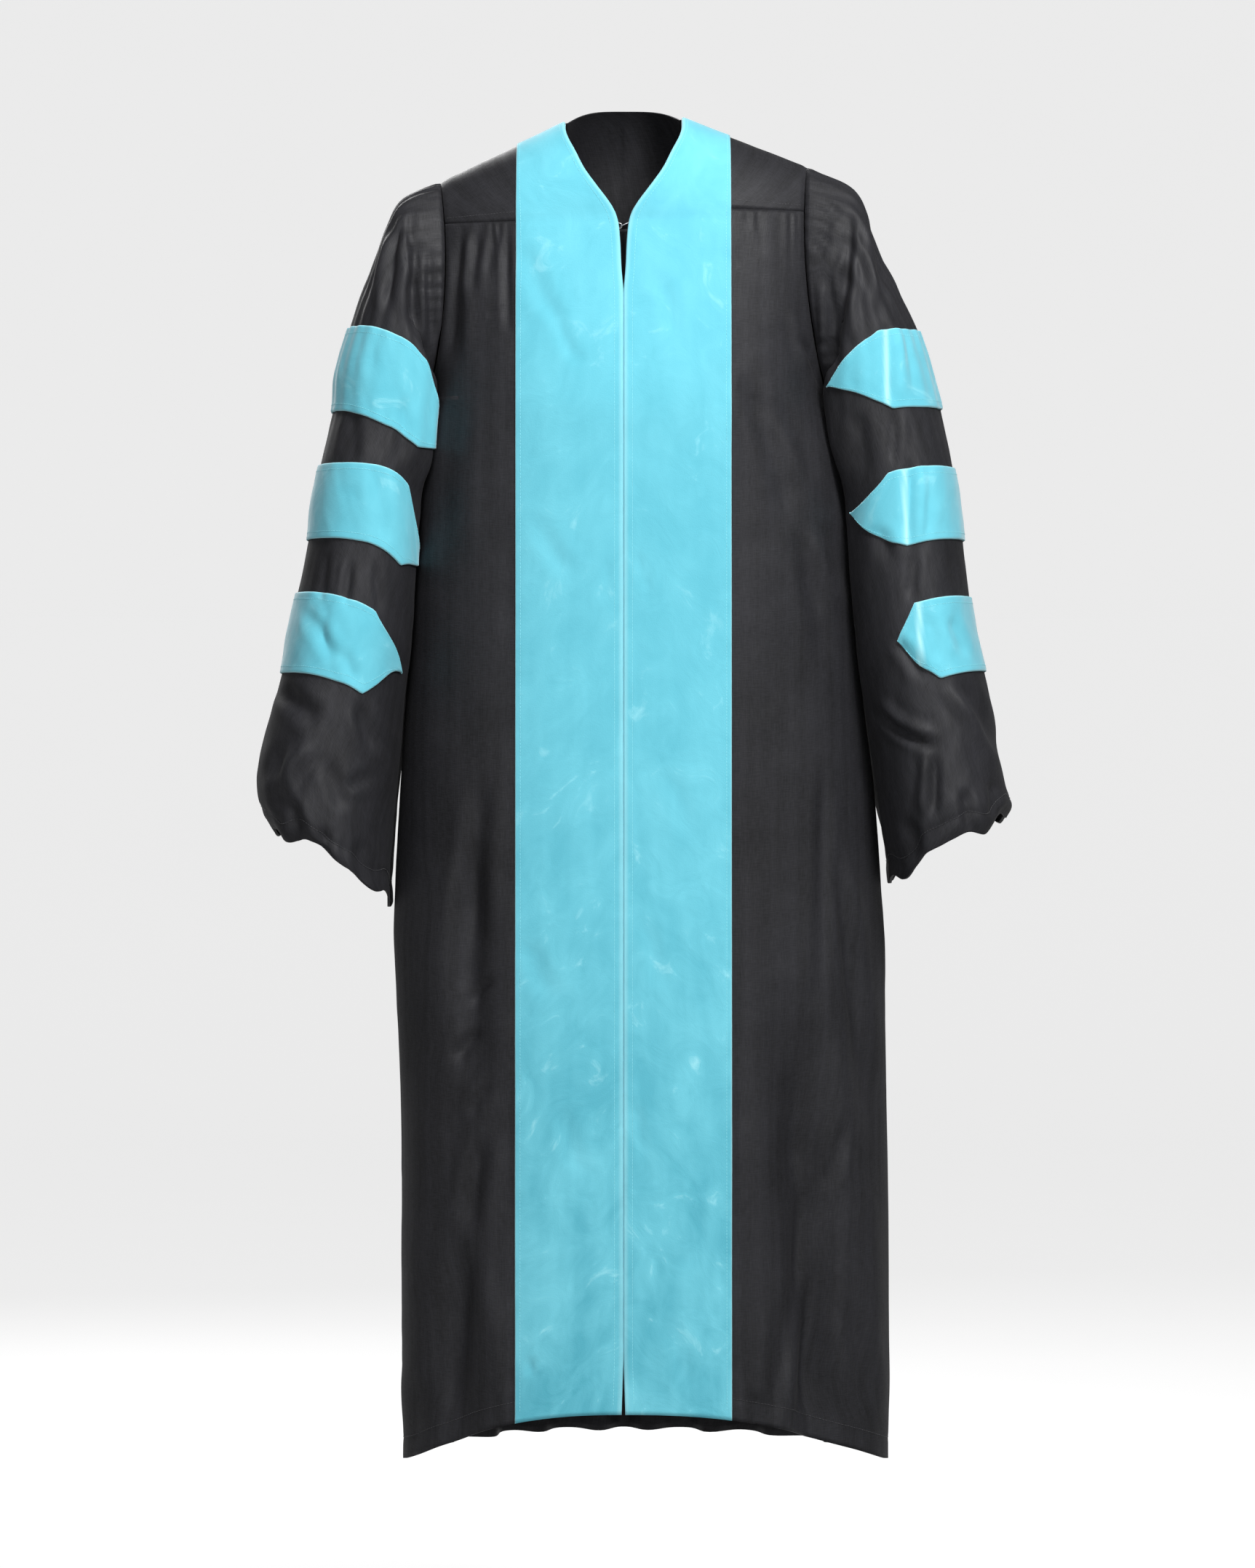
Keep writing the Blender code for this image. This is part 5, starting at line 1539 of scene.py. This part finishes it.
def slider():
    """Zip slider: a bevelled body that narrows towards the chain, with a bridge and a pull tab."""
    low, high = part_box("zip_slider")
    middle, span = (low + high) / 2, high - low
    bpy.ops.object.select_all(action="DESELECT")
    bpy.ops.mesh.primitive_cube_add(size=1, location=middle)
    body = bpy.context.object
    body.name = body.data.name = "zip_slider_body"
    body.scale = span
    bpy.ops.object.transform_apply(location=True, rotation=True, scale=True)
    bpy.ops.object.mode_set(mode="EDIT")
    bpy.ops.mesh.select_mode(type="FACE")
    for facing, shrink, out in ((-1, 0.62, 0.0), (1, 0.86, 0.0)):
        bpy.ops.mesh.select_all(action="DESELECT")
        bpy.ops.object.mode_set(mode="OBJECT")
        for face in body.data.polygons:
            face.select = face.normal.z * facing > 0.9
        bpy.ops.object.mode_set(mode="EDIT")
        bpy.ops.transform.resize(value=(shrink, 1, 1))
    bpy.ops.mesh.select_all(action="SELECT")
    bpy.ops.mesh.bevel(offset=0.0007, segments=3, affect="EDGES")
    bpy.ops.mesh.select_all(action="DESELECT")
    bpy.ops.object.mode_set(mode="OBJECT")
    for face in body.data.polygons:
        face.select = face.normal.y > 0.95
    bpy.ops.object.mode_set(mode="EDIT")
    bpy.ops.mesh.inset(thickness=0.0012)
    bpy.ops.transform.translate(value=(0, -0.0006, 0))
    bpy.ops.object.mode_set(mode="OBJECT")
    bpy.ops.mesh.primitive_torus_add(
        location=(middle.x, high.y - 0.0002, middle.z + 0.0005),
        rotation=(0, math.pi / 2, 0),
        major_radius=0.0019,
        minor_radius=0.00045,
        major_segments=20,
        minor_segments=8,
    )
    bridge = bpy.context.object
    bpy.ops.mesh.primitive_cylinder_add(
        vertices=20, radius=0.0026, depth=0.0008, location=(middle.x, high.y + 0.0009, middle.z - 0.0040),
        rotation=(math.pi / 2, 0, 0),
    )
    tab = bpy.context.object
    bpy.ops.object.mode_set(mode="EDIT")
    bpy.ops.mesh.select_all(action="SELECT")
    bpy.ops.transform.resize(value=(0.85, 1, 1.9))
    bpy.ops.mesh.bevel(offset=0.0002, segments=2, affect="EDGES")
    bpy.ops.object.mode_set(mode="OBJECT")
    bpy.ops.object.select_all(action="DESELECT")
    for part in (bridge, tab, body):
        part.select_set(True)
    bpy.context.view_layer.objects.active = body
    bpy.ops.object.join()
    bpy.ops.object.transform_apply(location=True, rotation=True, scale=True)
    body.data.materials.clear()
    body.data.materials.append(plated_steel())
    bpy.ops.object.shade_smooth_by_angle(angle=math.radians(40))
    return body


def bent_wire(name, points):
    """A round wire bent through points."""
    bpy.ops.object.select_all(action="DESELECT")
    bpy.ops.curve.primitive_nurbs_path_add()
    wire = bpy.context.object
    wire.name = wire.data.name = name
    line = wire.data.splines[0]
    line.points.add(len(points) - len(line.points))
    for target, point in zip(line.points, points):
        target.co = (*point, 1)
    line.order_u = 3
    line.use_endpoint_u = True
    line.resolution_u = 8
    wire.data.bevel_depth = WIRE
    wire.data.bevel_resolution = 3
    wire.data.use_fill_caps = True
    bpy.ops.object.convert(target="MESH")
    bpy.ops.object.transform_apply(location=True, rotation=True, scale=True)
    wire = bpy.context.object
    wire.data.materials.clear()
    wire.data.materials.append(plated_steel())
    bpy.ops.object.shade_smooth_by_angle(angle=math.radians(50))
    return wire


class GOWN_OT_neck_hook(bpy.types.Operator):
    """Bend the hook and the eye that close the neck, behind the velvet"""

    bl_idname = "gown.neck_hook"
    bl_label = "Neck hook"

    def execute(self, context):
        low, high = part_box("neck_eye")
        y = low.y + WIRE
        eye = [(x, y, HOOK_Z + z) for x, z in EYE_LINE]
        hook = [(x, y + deep, HOOK_Z + z) for x, deep, z in HOOK_LINE]
        for name, points in (("eye", eye), ("hook", hook)):
            keep(bent_wire("wire_" + name, points), "steel", "neck_" + name)
        return {"FINISHED"}


class GOWN_OT_stage(bpy.types.Operator):
    """Set the paper dome, the soft lights and the camera"""

    bl_idname = "gown.stage"
    bl_label = "Stage"

    def execute(self, context):
        bpy.ops.object.select_all(action="DESELECT")
        bpy.ops.mesh.primitive_uv_sphere_add(
            segments=72, ring_count=36, radius=DOME, location=(0, 0, FLOOR_Z + DOME_RISE)
        )
        floor = bpy.context.object
        floor.name = "paper_dome"
        bpy.ops.object.transform_apply(location=True, rotation=True, scale=True)
        bpy.ops.object.mode_set(mode="EDIT")
        bpy.ops.mesh.select_all(action="SELECT")
        bpy.ops.mesh.bisect(
            plane_co=(0, 0, FLOOR_Z), plane_no=(0, 0, 1), use_fill=True, clear_inner=True
        )
        bpy.ops.mesh.select_mode(type="EDGE")
        bpy.ops.mesh.select_all(action="DESELECT")
        bpy.ops.object.mode_set(mode="OBJECT")
        low = [abs(v.co.z - FLOOR_Z) < 0.001 for v in floor.data.vertices]
        for edge in floor.data.edges:
            edge.select = all(low[v] for v in edge.vertices)
        bpy.ops.object.mode_set(mode="EDIT")
        bpy.ops.mesh.bevel(offset=DOME_CURVE, segments=12, affect="EDGES")
        bpy.ops.object.mode_set(mode="OBJECT")
        bpy.ops.object.transform_apply(location=True, rotation=True, scale=True)
        bpy.ops.object.shade_smooth()
        floor.data.materials.append(studio_paper())
        aim = (0.0, 0.0, -0.60)
        lights = (
            ("key", (1.5, -2.6, 2.1), 1.2, 148),
            ("fill", (-1.2, -4.0, 0.8), 2.2, 50),
            ("above", (0.2, -1.3, 2.5), 1.4, 34),
            ("behind", (-1.2, 3.4, 1.4), 2.0, 95),
        )
        for name, where, size, power in lights:
            bpy.ops.object.light_add(type="AREA", location=where)
            lamp = bpy.context.object
            lamp.name = "light_" + name
            lamp.data.shape = "DISK"
            lamp.data.size = size
            lamp.data.energy = power
            lamp.visible_camera = False
            way = [a - w for a, w in zip(aim, where)]
            flat = math.hypot(way[0], way[1])
            lamp.rotation_euler = (math.atan2(flat, -way[2]), 0, math.atan2(-way[0], way[1]))
        world = bpy.data.worlds.new("studio")
        world.use_nodes = True
        world.node_tree.nodes["Background"].inputs["Color"].default_value = (1, 1, 1, 1)
        world.node_tree.nodes["Background"].inputs["Strength"].default_value = 0.29
        context.scene.world = world
        context.scene.view_settings.view_transform = "Standard"
        bpy.ops.object.camera_add(location=(EYE_X, -EYE_AWAY, EYE_Z), rotation=(math.pi / 2, 0, 0))
        camera = bpy.context.object
        camera.data.sensor_width = SENSOR
        camera.data.lens = SENSOR * EYE_AWAY / FRAME_HIGH
        context.scene.camera = camera
        return {"FINISHED"}


OPERATORS = (
    GOWN_OT_fronts,
    GOWN_OT_back,
    GOWN_OT_sleeves,
    GOWN_OT_velvet_panels,
    GOWN_OT_sleeve_bars,
    GOWN_OT_stitching,
    GOWN_OT_zip,
    GOWN_OT_neck_hook,
    GOWN_OT_stage,
)


class GOWN_PT_panel(bpy.types.Panel):
    """Lists the gown's sizes, colours and pieces"""

    bl_idname = "GOWN_PT_panel"
    bl_label = "Doctoral gown"
    bl_space_type = "VIEW_3D"
    bl_region_type = "UI"
    bl_category = "Gown"

    def draw(self, context):
        for group in (context.scene.gown_sizes, context.scene.gown_colours):
            box = self.layout.box()
            for name in group.__annotations__:
                box.prop(group, name)
        for kind in OPERATORS:
            self.layout.operator(kind.bl_idname)


CLASSES = (GownSizes, GownColours, *OPERATORS, GOWN_PT_panel)


def register():
    for kind in CLASSES:
        bpy.utils.register_class(kind)
    bpy.types.Scene.gown_sizes = bpy.props.PointerProperty(type=GownSizes)
    bpy.types.Scene.gown_colours = bpy.props.PointerProperty(type=GownColours)


def unregister():
    del bpy.types.Scene.gown_sizes
    del bpy.types.Scene.gown_colours
    for kind in reversed(CLASSES):
        bpy.utils.unregister_class(kind)


def main():
    register()
    for other in ("Cube", "Camera", "Light"):
        if other in bpy.data.objects:
            bpy.data.objects.remove(bpy.data.objects[other], do_unlink=True)
    for kind in OPERATORS:
        group, name = kind.bl_idname.split(".")
        getattr(getattr(bpy.ops, group), name)()


if __name__ == "__main__":
    main()
